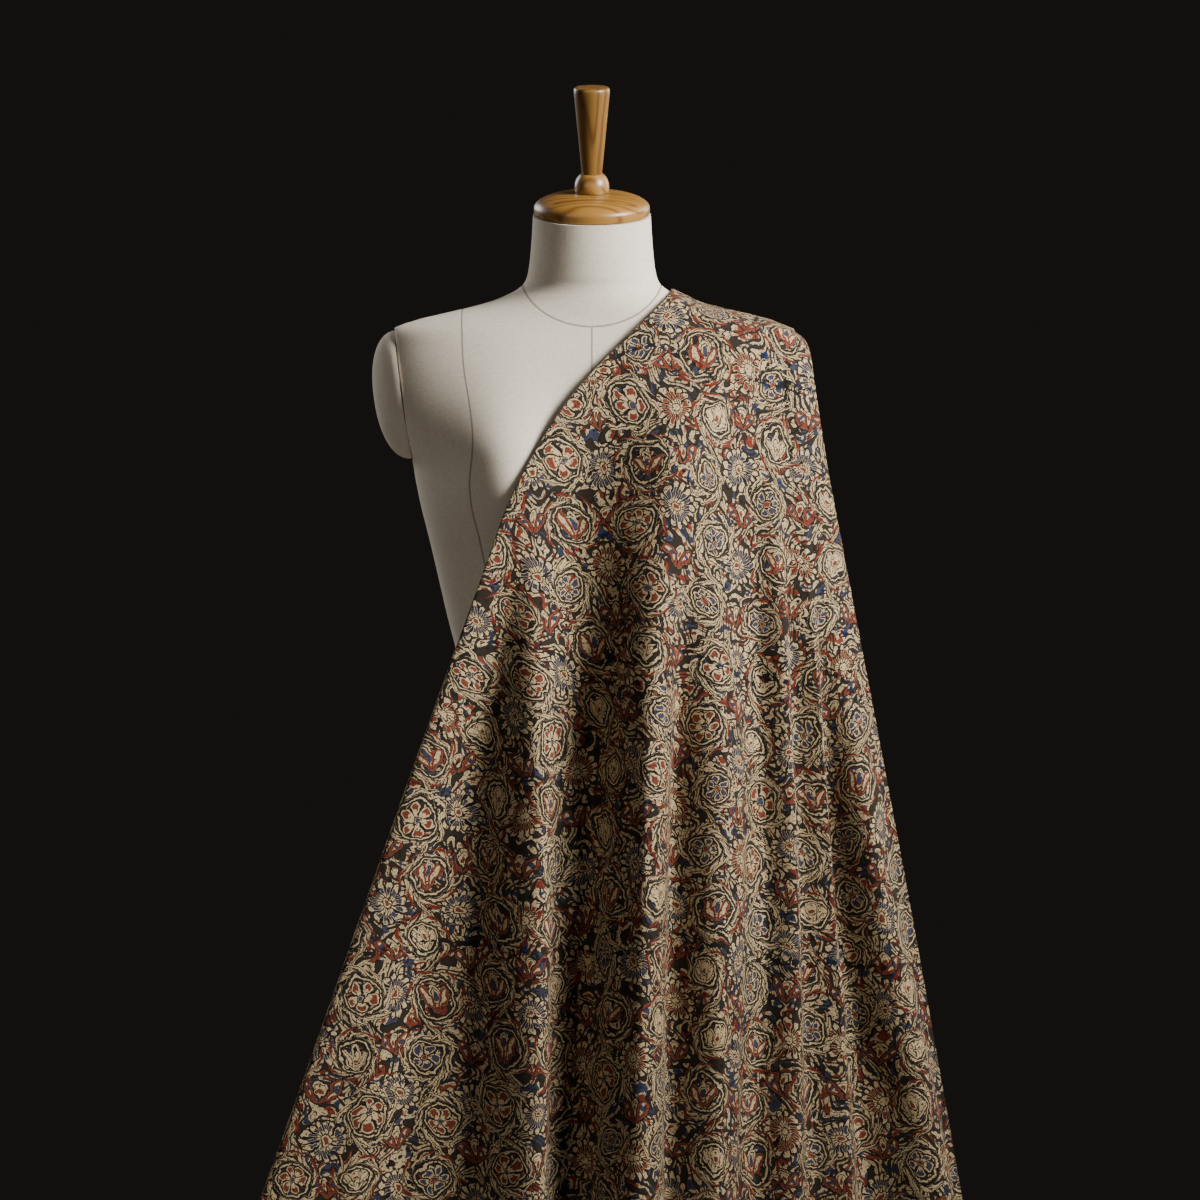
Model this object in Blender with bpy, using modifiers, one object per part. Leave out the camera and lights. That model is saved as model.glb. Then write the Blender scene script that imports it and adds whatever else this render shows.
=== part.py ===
"""Kalamkari cotton length draped over one shoulder of a linen-covered dress form on its stand.

Metres, +Z up. The form faces -Y and stands on the middle of its round base at the origin.
The cloth is one rectangular length laid over the form's shoulder at +X: it falls in front and
behind, and its edge towards the neck is turned under along the diagonal across the chest.
"""
import math
from collections import namedtuple

import bmesh
import bpy
import numpy as np
from mathutils import Matrix, Vector

# Fit between pieces
GAP = 0.0003

# Stand: round base, pole and the board that closes the form's underside
BASE_RADIUS = 0.190
BASE_THICK = 0.014
BASE_EDGE = 0.003
COLLAR_RADIUS = 0.030
COLLAR_TOP = 0.050
POLE_RADIUS = 0.016
BOARD_THICK = 0.010
BOARD_INSET = 0.006
FLANGE_RADIUS = 0.055
FLANGE_THICK = 0.008

# Form: flat arm plane on each side, leaning in towards the waist, with a padded arm cap on it
RING_POINTS = 40
ARM_TOP = 1.357
ARM_PLANE_TOP = 0.195
ARM_PLANE_LEAN = 0.130
ARM_BOTTOM = 1.230
ARM_MIDDLE = 1.2925
ARM_MIDDLE_Y = 0.001
ARM_HALF_HEIGHT = 0.0615
ARM_HALF_DEPTH = 0.0465
ARM_PROUD = 0.0300
ARM_ROUNDNESS = 2.2
ARM_CAP_STEPS = 8

# Bust of the form
BUST_X = 0.086
BUST_HEIGHT = 1.212
BUST_PROUD = 0.036
BUST_SPREAD_X = 0.052
BUST_SPREAD_UP = 0.078
BUST_SPREAD_DOWN = 0.055
BUST_ROUNDING = 2.0

# Wooden neck cap with its ball and handle, turned about one axis that leans forward
NECK_SLANT = math.radians(10.0)
CAP_RADIUS = 0.0570
CAP_RIM = 0.007
CAP_DOME = 0.0150
CAP_SEAT_RADIUS = 0.012
CAP_EDGE = 0.0021
BALL_RADIUS = 0.017
BALL_CENTRE = 0.0280
HANDLE_BOTTOM = 0.0412
HANDLE_TOP = 0.1260
HANDLE_BOTTOM_RADIUS = 0.0099
HANDLE_TOP_RADIUS = 0.0176
HANDLE_LIP = 0.002
HANDLE_BAND = 0.006
DOME_STEPS = 6
BALL_STEPS = 8
TURNING_STEPS = 24

# Cloth
CLOTH_THICK = 0.002
REST_GAP = 0.0012
BODY_GAP = 0.0050
HIP_GAP = 0.0140
REST_FADE = 0.012
TURN_PITCH_TOP = 0.0028
TURN_PITCH_HEM = 0.0110
TURN_FULL_HEIGHT = 0.70
TURN_PART_HEM = 0.20
UNDER_FADE = 0.10
HEM_HEIGHT = 0.130
BACK_HEM_HEIGHT = 0.185
SLANT_OF_FALL = 0.050
SIDE_CLOSING = 1.9
SIDE_SHARPNESS = 4.0
SIDE_REACH = 0.008
FRONT_ROWS = 24
BACK_ROWS = 17
TURN_LINES = 2
FOLD_FADE = 0.30
FOLD_GROWTH = 1.30
HANG_STEPS = 64
HANG_PASSES = 60
SHOULDER_STEP = 0.0002
FACING_STEP = 0.02

# Form's level sections from neck to hip: height, half width, reach to the front and the back,
# sideways-on place of the middle, squareness of the outline, and slant of the section
Section = namedtuple("Section", "height half_width front back middle square slant")
SECTIONS = [
    Section(1.4700, 0.0580, 0.0590, 0.0590, -0.012, 2.00, 1.0),
    Section(1.4400, 0.0599, 0.0605, 0.0605, -0.008, 2.00, 0.7),
    Section(1.4150, 0.0628, 0.0620, 0.0625, -0.004, 2.00, 0.3),
    Section(1.4030, 0.0670, 0.0632, 0.0645, -0.001, 2.00, 0.0),
    Section(1.3960, 0.0750, 0.0640, 0.0660, 0.000, 2.00, 0.0),
    Section(1.3910, 0.0845, 0.0645, 0.0680, 0.000, 2.00, 0.0),
    Section(1.3860, 0.0965, 0.0650, 0.0700, 0.000, 2.00, 0.0),
    Section(1.3810, 0.1130, 0.0655, 0.0730, 0.000, 2.00, 0.0),
    Section(1.3760, 0.1335, 0.0660, 0.0760, 0.000, 2.00, 0.0),
    Section(1.3710, 0.1550, 0.0665, 0.0790, 0.000, 2.02, 0.0),
    Section(1.3660, 0.1750, 0.0675, 0.0820, 0.000, 2.04, 0.0),
    Section(1.3565, 0.1990, 0.0705, 0.0880, 0.000, 2.08, 0.0),
    Section(1.3400, 0.2060, 0.0770, 0.0950, 0.000, 2.12, 0.0),
    Section(1.3150, 0.2080, 0.0860, 0.1020, 0.000, 2.16, 0.0),
    Section(1.2850, 0.2050, 0.0950, 0.1080, 0.000, 2.20, 0.0),
    Section(1.2550, 0.1960, 0.1020, 0.1110, 0.000, 2.20, 0.0),
    Section(1.2300, 0.1800, 0.1040, 0.1120, 0.000, 2.20, 0.0),
    Section(1.2070, 0.1753, 0.1040, 0.1110, 0.000, 2.20, 0.0),
    Section(1.1800, 0.1698, 0.1025, 0.1085, 0.000, 2.20, 0.0),
    Section(1.1470, 0.1617, 0.1000, 0.1040, 0.000, 2.20, 0.0),
    Section(1.1120, 0.1537, 0.0970, 0.0985, 0.000, 2.20, 0.0),
    Section(1.0700, 0.1442, 0.0915, 0.0910, 0.000, 2.20, 0.0),
    Section(1.0300, 0.1345, 0.0870, 0.0850, 0.000, 2.20, 0.0),
    Section(0.9900, 0.1290, 0.0860, 0.0820, 0.000, 2.20, 0.0),
    Section(0.9450, 0.1400, 0.0920, 0.0910, 0.000, 2.20, 0.0),
    Section(0.8950, 0.1585, 0.1000, 0.1045, 0.000, 2.20, 0.0),
    Section(0.8450, 0.1715, 0.1060, 0.1165, 0.000, 2.20, 0.0),
    Section(0.7970, 0.1760, 0.1090, 0.1220, 0.000, 2.20, 0.0),
    Section(0.7570, 0.1730, 0.1070, 0.1200, 0.000, 2.20, 0.0),
]
SECTION_HEIGHTS = [section.height for section in reversed(SECTIONS)]
NECK_TOP = SECTIONS[0]
FORM_BOTTOM = SECTIONS[-1]

# Fold lines from the turned edge to the outer selvedge. The columns from shoulder to hem are the
# line's X on the shoulder, at the heights in LEVELS and at the hem; out is how far the crest or
# valley stands out from the fall of the cloth, start is the height at which it begins, and
# strips is how many strips of the sheet lie before it. The back keeps the front's strips.
Line = namedtuple("Line", "name shoulder chest bust ribs hip knee hem out start strips")
LEVELS = [1.300, 1.210, 1.140, 0.800, 0.500]
TRACKS = ["chest", "bust", "ribs", "hip", "knee", "hem"]
FRONT_LINES = [
    Line("edge", 0.0810, -0.0165, -0.0722, -0.0985, -0.2170, -0.3245, -0.4670, -0.008, 1.16, 0),
    Line("valley_1", 0.0860, 0.0000, -0.0620, -0.0760, -0.1170, -0.1220, -0.1280, -0.030, 1.20, 4),
    Line("crest_1", 0.0930, 0.0200, -0.0420, -0.0540, -0.0540, -0.0590, -0.0640, 0.015, 1.22, 3),
    Line("valley_2", 0.1040, 0.0480, 0.0080, 0.0030, -0.0140, -0.0240, -0.0300, -0.015, 1.24, 3),
    Line("crest_2", 0.1240, 0.0880, 0.0680, 0.0640, 0.0540, 0.0490, 0.0460, 0.024, 1.24, 4),
    Line("valley_3", 0.1370, 0.1100, 0.0980, 0.0940, 0.0860, 0.0830, 0.0800, -0.018, 1.20, 3),
    Line("crest_3", 0.1470, 0.1250, 0.1190, 0.1190, 0.1200, 0.1120, 0.1080, 0.016, 1.20, 3),
    Line("valley_4", 0.1640, 0.1500, 0.1580, 0.1630, 0.1760, 0.1660, 0.1600, -0.013, 1.30, 3),
    Line("crest_4", 0.1750, 0.1650, 0.1740, 0.1800, 0.1970, 0.2000, 0.2030, 0.007, 1.30, 2),
    Line("valley_5", 0.1840, 0.1770, 0.1870, 0.1940, 0.2115, 0.2240, 0.2360, -0.007, 1.24, 2),
    Line("crest_5", 0.1920, 0.1890, 0.2000, 0.2080, 0.2336, 0.2540, 0.2720, 0.010, 1.26, 2),
    Line("valley_6", 0.1990, 0.1990, 0.2100, 0.2190, 0.2490, 0.2810, 0.3080, -0.015, 1.12, 2),
    Line("crest_6", 0.2050, 0.2080, 0.2210, 0.2310, 0.2790, 0.3410, 0.3800, 0.018, 1.12, 3),
    Line("selvedge", 0.2150, 0.2205, 0.2355, 0.2495, 0.3163, 0.3720, 0.4400, 0.000, 1.12, 4),
]
BACK_LINES = [
    Line("edge", 0.0810, 0.0080, -0.0400, -0.0680, -0.1880, -0.2800, -0.4000, 0.000, 1.20, 0),
    Line("valley_1", 0.0920, 0.0370, 0.0020, -0.0200, -0.1130, -0.1800, -0.2700, -0.028, 1.20, 0),
    Line("crest_1", 0.1090, 0.0700, 0.0430, 0.0280, -0.0280, -0.0790, -0.1450, 0.026, 1.20, 0),
    Line("valley_2", 0.1290, 0.1020, 0.0850, 0.0760, 0.0500, 0.0210, -0.0200, -0.030, 1.20, 0),
    Line("crest_2", 0.1490, 0.1330, 0.1260, 0.1230, 0.1230, 0.1130, 0.0980, 0.028, 1.20, 0),
    Line("valley_3", 0.1700, 0.1640, 0.1650, 0.1670, 0.1880, 0.1980, 0.2060, -0.024, 1.20, 0),
    Line("crest_3", 0.1930, 0.1930, 0.1980, 0.2040, 0.2460, 0.2750, 0.3080, 0.018, 1.20, 0),
    Line("selvedge", 0.2150, 0.2170, 0.2280, 0.2390, 0.3000, 0.3450, 0.3950, 0.000, 1.20, 0),
]


def clear_scene():
    """Empty the file of the objects and collections it opened with."""
    for old in list(bpy.data.objects):
        bpy.data.objects.remove(old, do_unlink=True)
    for old in list(bpy.data.collections):
        bpy.data.collections.remove(old)


def material(name, colour, roughness, metallic=0.0):
    """Plain Principled material."""
    made = bpy.data.materials.new(name)
    made.use_nodes = True
    surface = made.node_tree.nodes["Principled BSDF"]
    surface.inputs["Base Color"].default_value = (*colour, 1.0)
    surface.inputs["Roughness"].default_value = roughness
    surface.inputs["Metallic"].default_value = metallic
    made.diffuse_color = (*colour, 1.0)
    return made


def place(name, mesh, collection, surface, transform=None):
    """Object from a mesh, shaded smooth up to its sharp edges."""
    mesh.materials.append(surface)
    mesh.shade_smooth()
    mesh.set_sharp_from_angle(angle=math.radians(40.0))
    made = bpy.data.objects.new(name, mesh)
    if transform is not None:
        made.matrix_world = transform
    collection.objects.link(made)
    return made


def turned(name, outline, collection, surface, transform=None):
    """Solid of revolution about Z from an outline of (radius, height), top to bottom."""
    mesh = bpy.data.meshes.new(name)
    points = [(radius, 0.0, height) for radius, height in outline]
    edges = [(k, k + 1) for k in range(len(points) - 1)]
    mesh.from_pydata(points, edges, [])
    made = place(name, mesh, collection, surface, transform)
    screw = made.modifiers.new("Turn", "SCREW")
    screw.axis = "Z"
    screw.steps = TURNING_STEPS
    screw.render_steps = TURNING_STEPS
    screw.use_merge_vertices = True
    screw.merge_threshold = 0.00001
    return made


def grid_mesh(name, rows, closed=False, capped=False):
    """Mesh over equal rows of points, closed into rings and capped at both ends on request."""
    mesh = bpy.data.meshes.new(name)
    shape = bmesh.new()
    lines = [[shape.verts.new(point) for point in row] for row in rows]
    width = len(rows[0])
    for upper, lower in zip(lines, lines[1:]):
        for k in range(width if closed else width - 1):
            after = (k + 1) % width
            shape.faces.new((upper[k], lower[k], lower[after], upper[after]))
    if capped:
        shape.faces.new(lines[0])
        shape.faces.new(list(reversed(lines[-1])))
    bmesh.ops.recalc_face_normals(shape, faces=shape.faces)
    shape.to_mesh(mesh)
    shape.free()
    return mesh


def smooth_step(value):
    """Ease from 0 to 1."""
    value = min(max(value, 0.0), 1.0)
    return value * value * (3.0 - 2.0 * value)


def smooth_through(places, values, place_at):
    """Cubic curve through values given at falling or rising places."""
    if places[0] > places[-1]:
        places = places[::-1]
        values = values[::-1]
    place_at = min(max(place_at, places[0]), places[-1])
    slopes = []
    for k in range(len(places)):
        low = max(k - 1, 0)
        high = min(k + 1, len(places) - 1)
        slopes.append((values[high] - values[low]) / (places[high] - places[low]))
    k = min(int(np.searchsorted(places, place_at, side="right")) - 1, len(places) - 2)
    span = places[k + 1] - places[k]
    part = (place_at - places[k]) / span
    ease = part * part * (3.0 - 2.0 * part)
    start = part * (1.0 - part) ** 2 * slopes[k] * span
    end = -part * part * (1.0 - part) * slopes[k + 1] * span
    return values[k] * (1.0 - ease) + values[k + 1] * ease + start + end


def section_at(height):
    """Section of the form at any height."""
    fields = []
    for field in Section._fields:
        values = [getattr(section, field) for section in reversed(SECTIONS)]
        fields.append(float(np.interp(height, SECTION_HEIGHTS, values)))
    return Section(*fields)


def arm_plane(height):
    """Distance of the flat arm plane from the form's middle."""
    return ARM_PLANE_TOP - ARM_PLANE_LEAN * (ARM_TOP - height)


def bust_swell(x, height):
    """How far the bust stands out from the plain section."""
    rise = height - BUST_HEIGHT
    spread = BUST_SPREAD_UP if rise > 0.0 else BUST_SPREAD_DOWN
    across = (abs(x) - BUST_X) / BUST_SPREAD_X
    return BUST_PROUD * math.exp(-across * across - (rise / spread) ** 2)


def form_ring(section):
    """Points of one section of the form, counter-clockwise from +X."""
    ring = []
    power = 2.0 / section.square
    has_armhole = ARM_BOTTOM <= section.height <= ARM_TOP
    limit = arm_plane(section.height) if has_armhole else section.half_width
    for k in range(RING_POINTS):
        turn = 2.0 * math.pi * k / RING_POINTS
        across = math.copysign(abs(math.cos(turn)) ** power, math.cos(turn))
        along = math.copysign(abs(math.sin(turn)) ** power, math.sin(turn))
        x = section.half_width * across
        y = (section.back if along > 0.0 else section.front) * along
        if along < 0.0:
            y -= bust_swell(x, section.height) * min(1.0, -BUST_ROUNDING * along)
        x = min(max(x, -limit), limit)
        height = section.height + y * math.tan(NECK_SLANT) * section.slant
        ring.append((x, y + section.middle, height))
    return ring


def dress_form(collection, linen):
    """Torso and neck, lofted through the level sections."""
    rings = [form_ring(section) for section in SECTIONS]
    place("form_body", grid_mesh("form_body", rings, closed=True, capped=True), collection, linen)


def arm_cap(side, collection, linen):
    """Padded cap that closes the armhole, an oval dome standing on the arm plane."""
    outline = []
    for k in range(ARM_CAP_STEPS + 1):
        turn = 0.5 * math.pi * k / ARM_CAP_STEPS
        radius = ARM_HALF_HEIGHT * max(math.sin(turn), 0.0) ** (2.0 / ARM_ROUNDNESS)
        height = ARM_PROUD * max(math.cos(turn), 0.0) ** (2.0 / ARM_ROUNDNESS)
        outline.append((radius if k else 0.0, height if k < ARM_CAP_STEPS else 0.0))
    outline.append((0.0, 0.0))
    centre = Vector((side * (arm_plane(ARM_MIDDLE) + GAP), ARM_MIDDLE_Y, ARM_MIDDLE))
    lean = math.atan(ARM_PLANE_LEAN)
    up = Vector((side * math.sin(lean), 0.0, math.cos(lean)))
    out = Vector((side * math.cos(lean), 0.0, -math.sin(lean)))
    along = up.cross(out)
    turned_axes = Matrix((along, up, out)).transposed().to_4x4()
    oval = Matrix.Diagonal((ARM_HALF_DEPTH / ARM_HALF_HEIGHT, 1.0, 1.0, 1.0))
    name = "arm_cap_cloth_side" if side > 0 else "arm_cap_bare_side"
    turned(name, outline, collection, linen, Matrix.Translation(centre) @ turned_axes @ oval)


def neck_axis():
    """Frame at the middle of the neck's slanted top, Z along the turning axis."""
    top = Vector((0.0, NECK_TOP.middle, NECK_TOP.height))
    return Matrix.Translation(top) @ Matrix.Rotation(NECK_SLANT, 4, "X")


def neck_cap(collection, wood):
    """Dome on the neck, the ball that stands on it and the tapered handle on the ball."""
    frame = neck_axis()
    bottom = GAP
    dome = [(0.0, bottom + CAP_RIM + CAP_DOME), (CAP_SEAT_RADIUS, bottom + CAP_RIM + CAP_DOME)]
    for k in range(1, DOME_STEPS + 1):
        turn = 0.5 * math.pi * k / DOME_STEPS
        reach = CAP_SEAT_RADIUS + (CAP_RADIUS - CAP_SEAT_RADIUS) * math.sin(turn)
        dome.append((reach, bottom + CAP_RIM + CAP_DOME * math.cos(turn)))
    dome += [(CAP_RADIUS, bottom + CAP_EDGE), (CAP_RADIUS - CAP_EDGE, bottom), (0.0, bottom)]
    turned("neck_cap", dome, collection, wood, frame)

    seat = bottom + CAP_RIM + CAP_DOME + GAP
    low = math.acos((BALL_CENTRE - seat) / BALL_RADIUS)
    high = math.acos((HANDLE_BOTTOM - GAP - BALL_CENTRE) / BALL_RADIUS)
    ball = [(0.0, HANDLE_BOTTOM - GAP)]
    for k in range(BALL_STEPS + 1):
        turn = high + (math.pi - low - high) * k / BALL_STEPS
        ball.append((BALL_RADIUS * math.sin(turn), BALL_CENTRE + BALL_RADIUS * math.cos(turn)))
    ball.append((0.0, ball[-1][1]))
    turned("cap_ball", ball, collection, wood, frame)

    handle = [(0.0, HANDLE_TOP), (HANDLE_TOP_RADIUS - HANDLE_LIP, HANDLE_TOP),
              (HANDLE_TOP_RADIUS, HANDLE_TOP - HANDLE_LIP),
              (HANDLE_TOP_RADIUS, HANDLE_TOP - HANDLE_BAND),
              (HANDLE_BOTTOM_RADIUS, HANDLE_BOTTOM), (0.0, HANDLE_BOTTOM)]
    turned("cap_handle", handle, collection, wood, frame)


def stand(collection, board_wood, steel):
    """Underside board with its flange, pole, and round base with a collar."""
    board_top = FORM_BOTTOM.height - GAP
    board_bottom = board_top - BOARD_THICK
    inset = FORM_BOTTOM._replace(half_width=FORM_BOTTOM.half_width - BOARD_INSET,
                                 front=FORM_BOTTOM.front - BOARD_INSET,
                                 back=FORM_BOTTOM.back - BOARD_INSET)
    rings = [form_ring(inset._replace(height=height)) for height in (board_top, board_bottom)]
    mesh = grid_mesh("underside_board", rings, closed=True, capped=True)
    place("underside_board", mesh, collection, board_wood)

    flange_top = board_bottom - GAP
    flange_bottom = flange_top - FLANGE_THICK
    flange = [(0.0, flange_top), (FLANGE_RADIUS, flange_top), (FLANGE_RADIUS, flange_bottom),
              (0.0, flange_bottom)]
    turned("pole_flange", flange, collection, steel)

    base_top = BASE_THICK
    pole_bottom = COLLAR_TOP + GAP
    pole_top = flange_bottom - GAP
    pole = [(0.0, pole_top), (POLE_RADIUS, pole_top), (POLE_RADIUS, pole_bottom), (0.0, pole_bottom)]
    turned("pole", pole, collection, steel)

    base = [(0.0, COLLAR_TOP), (COLLAR_RADIUS - BASE_EDGE, COLLAR_TOP),
            (COLLAR_RADIUS, COLLAR_TOP - BASE_EDGE), (COLLAR_RADIUS, base_top),
            (BASE_RADIUS - BASE_EDGE, base_top), (BASE_RADIUS, base_top - BASE_EDGE),
            (BASE_RADIUS, 0.0), (0.0, 0.0)]
    turned("stand_base", base, collection, steel)


def arm_reach(x, height, grow):
    """Half depth of the arm cap at X and a height, or zero clear of it."""
    out = (abs(x) - arm_plane(height)) / (ARM_PROUD + grow)
    if out >= 1.0:
        return 0.0
    wide = (1.0 - max(out, 0.0) ** ARM_ROUNDNESS) ** (1.0 / ARM_ROUNDNESS)
    rise = (height - ARM_MIDDLE) / (ARM_HALF_HEIGHT + grow)
    left = wide * wide - rise * rise
    return (ARM_HALF_DEPTH + grow) * math.sqrt(left) if left > 0.0 else 0.0


def form_reach(x, height, side, grow):
    """How far the form, grown all round, reaches to the front (-1) or the back (+1)."""
    section = section_at(height - grow)
    outline = abs(x) / (section.half_width + grow)
    reach = 0.0
    if outline < 1.0:
        depth = (section.back if side > 0 else section.front) + grow
        reach = depth * (1.0 - outline ** section.square) ** (1.0 / section.square)
        if side < 0:
            reach += bust_swell(x, height) * min(1.0, BUST_ROUNDING * reach / depth)
    arm = arm_reach(x, height, grow)
    if arm > 0.0:
        reach = max(reach, arm + side * ARM_MIDDLE_Y)
    return reach


def shoulder_height(x, grow):
    """Height at which the grown form ends above X."""
    height = NECK_TOP.height
    while height > ARM_BOTTOM and form_reach(x, height, -1, grow) <= 0.0:
        height -= SHOULDER_STEP
    return height


def line_value(lines, station, pick):
    """Value read across the lines at a station from 0 at the edge to 1 at the selvedge."""
    place_on = station * (len(lines) - 1)
    k = min(int(place_on), len(lines) - 2)
    part = place_on - k
    return pick(lines[k]) * (1.0 - part) + pick(lines[k + 1]) * part


def fold_value(lines, station, height):
    """Stand-out of the crests and valleys at a station and height, easing from line to line."""
    def out_of(line):
        depth = smooth_step((line.start - height) / FOLD_FADE)
        return line.out * depth
    place_on = station * (len(lines) - 1)
    k = min(int(place_on), len(lines) - 2)
    ease = smooth_step(place_on - k)
    low = (LEVELS[2] - height) / (LEVELS[2] - HEM_HEIGHT)
    growth = 1.0 + (FOLD_GROWTH - 1.0) * min(max(low, 0.0), 1.0)
    return growth * (out_of(lines[k]) * (1.0 - ease) + out_of(lines[k + 1]) * ease)


def turn_part(height):
    """Share of its full reach that the turned-under edge has at a height."""
    low = smooth_step((TURN_FULL_HEIGHT - height) / (TURN_FULL_HEIGHT - HEM_HEIGHT))
    return 1.0 + (TURN_PART_HEM - 1.0) * low


def turn_pitch(height):
    """Distance from the outer layer to the turned-under layer."""
    part = smooth_step((LEVELS[0] - height) / (LEVELS[0] - LEVELS[3]))
    return TURN_PITCH_TOP + (TURN_PITCH_HEM - TURN_PITCH_TOP) * part


def rest_distance(station, height, top):
    """Distance of the cloth's middle from the form, more where a turned layer lies below."""
    turned_to = TURN_LINES * turn_part(height) / (len(FRONT_LINES) - 1)
    under = 1.0 - smooth_step((station - turned_to) / UNDER_FADE)
    low = smooth_step((LEVELS[1] - height) / (LEVELS[1] - LEVELS[3]))
    off_shoulder = BODY_GAP + (HIP_GAP - BODY_GAP) * low
    gap = REST_GAP + (off_shoulder - REST_GAP) * smooth_step((top - height) / REST_FADE)
    return 0.5 * CLOTH_THICK + gap + under * turn_pitch(height)


def fall_heights(top, bottom, rows):
    """Heights down one fall, closer together over the shoulder."""
    return [top + (bottom - top) * (k / rows) ** 2 for k in range(rows + 1)]


def hang_line(lines, station, side, bottom):
    """One line of the cloth from the shoulder down: heights, X and distance from the middle."""
    shoulder_x = line_value(FRONT_LINES, station, lambda line: line.shoulder)
    top = shoulder_height(shoulder_x, rest_distance(station, NECK_TOP.height, 0.0))
    heights = fall_heights(top, bottom, HANG_STEPS)
    levels = [top] + LEVELS + [bottom]
    track = [shoulder_x]
    for name in TRACKS:
        track.append(line_value(lines, station, lambda line, name=name: getattr(line, name)))
    xs = [smooth_through(levels, track, height) for height in heights]
    floor = []
    for x, height in zip(xs, heights):
        floor.append(form_reach(x, height, side, rest_distance(station, height, top)))
    floor[0] = 0.0
    reach = [floor[0]]
    slant = SLANT_OF_FALL * (1.0 - SIDE_CLOSING * station ** SIDE_SHARPNESS)
    for k in range(1, len(heights)):
        fallen = reach[-1] + slant * (heights[k - 1] - heights[k])
        reach.append(max(floor[k], fallen, SIDE_REACH))
    for _ in range(HANG_PASSES):
        for k in range(1, len(heights) - 1):
            part = (heights[k - 1] - heights[k]) / (heights[k - 1] - heights[k + 1])
            straight = reach[k - 1] * (1.0 - part) + reach[k + 1] * part
            reach[k] = max(floor[k], straight)
    return heights, xs, reach, [far - near for far, near in zip(reach, floor)]


class Fall:
    """Front or back fall of the cloth, as a surface over station and way down."""

    STATIONS = 79

    def __init__(self, lines, side, bottom):
        self.lines = lines
        self.side = side
        stations = [k / (self.STATIONS - 1) for k in range(self.STATIONS)]
        hung = [hang_line(lines, station, side, bottom) for station in stations]
        self.heights = np.array([line[0] for line in hung])
        self.xs = np.array([line[1] for line in hung])
        self.reach = np.array([line[2] for line in hung])
        self.room = np.array([line[3] for line in hung])

    def sample(self, table, station, down):
        """Read a table at a station and a way down, both from 0 to 1."""
        across = min(max(station, 0.0), 1.0) * (self.STATIONS - 1)
        along = min(max(down, 0.0), 1.0) * HANG_STEPS
        i = min(int(across), self.STATIONS - 2)
        j = min(int(along), HANG_STEPS - 1)
        u = across - i
        v = along - j
        upper = table[i, j] * (1.0 - u) + table[i + 1, j] * u
        lower = table[i, j + 1] * (1.0 - u) + table[i + 1, j + 1] * u
        return float(upper * (1.0 - v) + lower * v)

    def fall_point(self, station, down):
        """Point on the smooth fall, before the folds."""
        return Vector((self.sample(self.xs, station, down),
                       self.side * self.sample(self.reach, station, down),
                       self.sample(self.heights, station, down)))

    def outward(self, station, down):
        """Outward direction of the fall, level but for the top of the shoulder."""
        across = (self.fall_point(station + FACING_STEP, down)
                  - self.fall_point(station - FACING_STEP, down))
        along = (self.fall_point(station, down + FACING_STEP)
                 - self.fall_point(station, down - FACING_STEP))
        facing = across.cross(along) * self.side
        return facing.normalized()

    def point(self, station, down, under=False):
        """Middle of the sheet, or of the layer turned under it."""
        base = self.fall_point(station, down)
        facing = self.outward(station, down)
        room = self.sample(self.room, station, down)
        out = max(fold_value(self.lines, station, base.z), -room)
        if under:
            out -= turn_pitch(base.z)
        return base + facing * out


def cloth_columns():
    """Stations of the outer layer, with the asked number of strips before each fold line."""
    stations = [0.0]
    for k, line in enumerate(FRONT_LINES[1:]):
        for strip in range(line.strips):
            stations.append((k + (strip + 1) / line.strips) / (len(FRONT_LINES) - 1))
    return stations


def cloth_row(fall, down):
    """One row across the sheet: inner end of the turned layer, its bend, then the outer layer."""
    part = turn_part(fall.fall_point(0.0, down).z)
    stations = cloth_columns()
    turned_columns = sum(line.strips for line in FRONT_LINES[:TURN_LINES + 1])
    row = []
    for station in reversed(stations[1:turned_columns + 1]):
        row.append(fall.point(part * station, down, under=True))
    outer = fall.point(0.0, down)
    inner = fall.point(0.0, down, under=True)
    inward = fall.point(FACING_STEP, down) - outer
    inward.normalize()
    radius = 0.5 * (outer - inner).length
    row.append(inner)
    row.append(0.5 * (outer + inner) - inward * radius)
    row += [fall.point(station, down) for station in stations]
    return row


def draped_cloth(collection, print_cloth):
    """The whole length: rows up the back, over the shoulder and down the front, made solid."""
    front = Fall(FRONT_LINES, -1, HEM_HEIGHT)
    back = Fall(BACK_LINES, 1, BACK_HEM_HEIGHT)
    rows = [cloth_row(back, k / BACK_ROWS) for k in range(BACK_ROWS, 0, -1)]
    rows += [cloth_row(front, k / FRONT_ROWS) for k in range(FRONT_ROWS + 1)]
    sheet = place("kalamkari_cloth", grid_mesh("kalamkari_cloth", rows), collection, print_cloth)
    solid = sheet.modifiers.new("Cloth thickness", "SOLIDIFY")
    solid.thickness = CLOTH_THICK
    solid.offset = 0.0
    solid.use_even_offset = False


def build():
    clear_scene()
    collection = bpy.data.collections.new("draped_kalamkari_cotton")
    bpy.context.scene.collection.children.link(collection)
    linen = material("linen_cover", (0.55, 0.51, 0.45), 0.9)
    wood = material("turned_wood", (0.41, 0.23, 0.08), 0.4)
    board_wood = material("plywood", (0.45, 0.33, 0.20), 0.7)
    steel = material("black_steel", (0.03, 0.03, 0.03), 0.45, 0.6)
    print_cloth = material("kalamkari_print", (0.17, 0.12, 0.08), 0.85)
    dress_form(collection, linen)
    for side in (-1, 1):
        arm_cap(side, collection, linen)
    neck_cap(collection, wood)
    stand(collection, board_wood, steel)
    draped_cloth(collection, print_cloth)


build()
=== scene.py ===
"""Kalamkari cotton draped over a dress form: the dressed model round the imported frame.

Metres, +Z up. The form faces -Y. The cloth, the form's cover and its turned wood are remade
finer on the solids' own sizes; the stand keeps its solids and gets materials.
"""

import math
from collections import namedtuple

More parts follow.
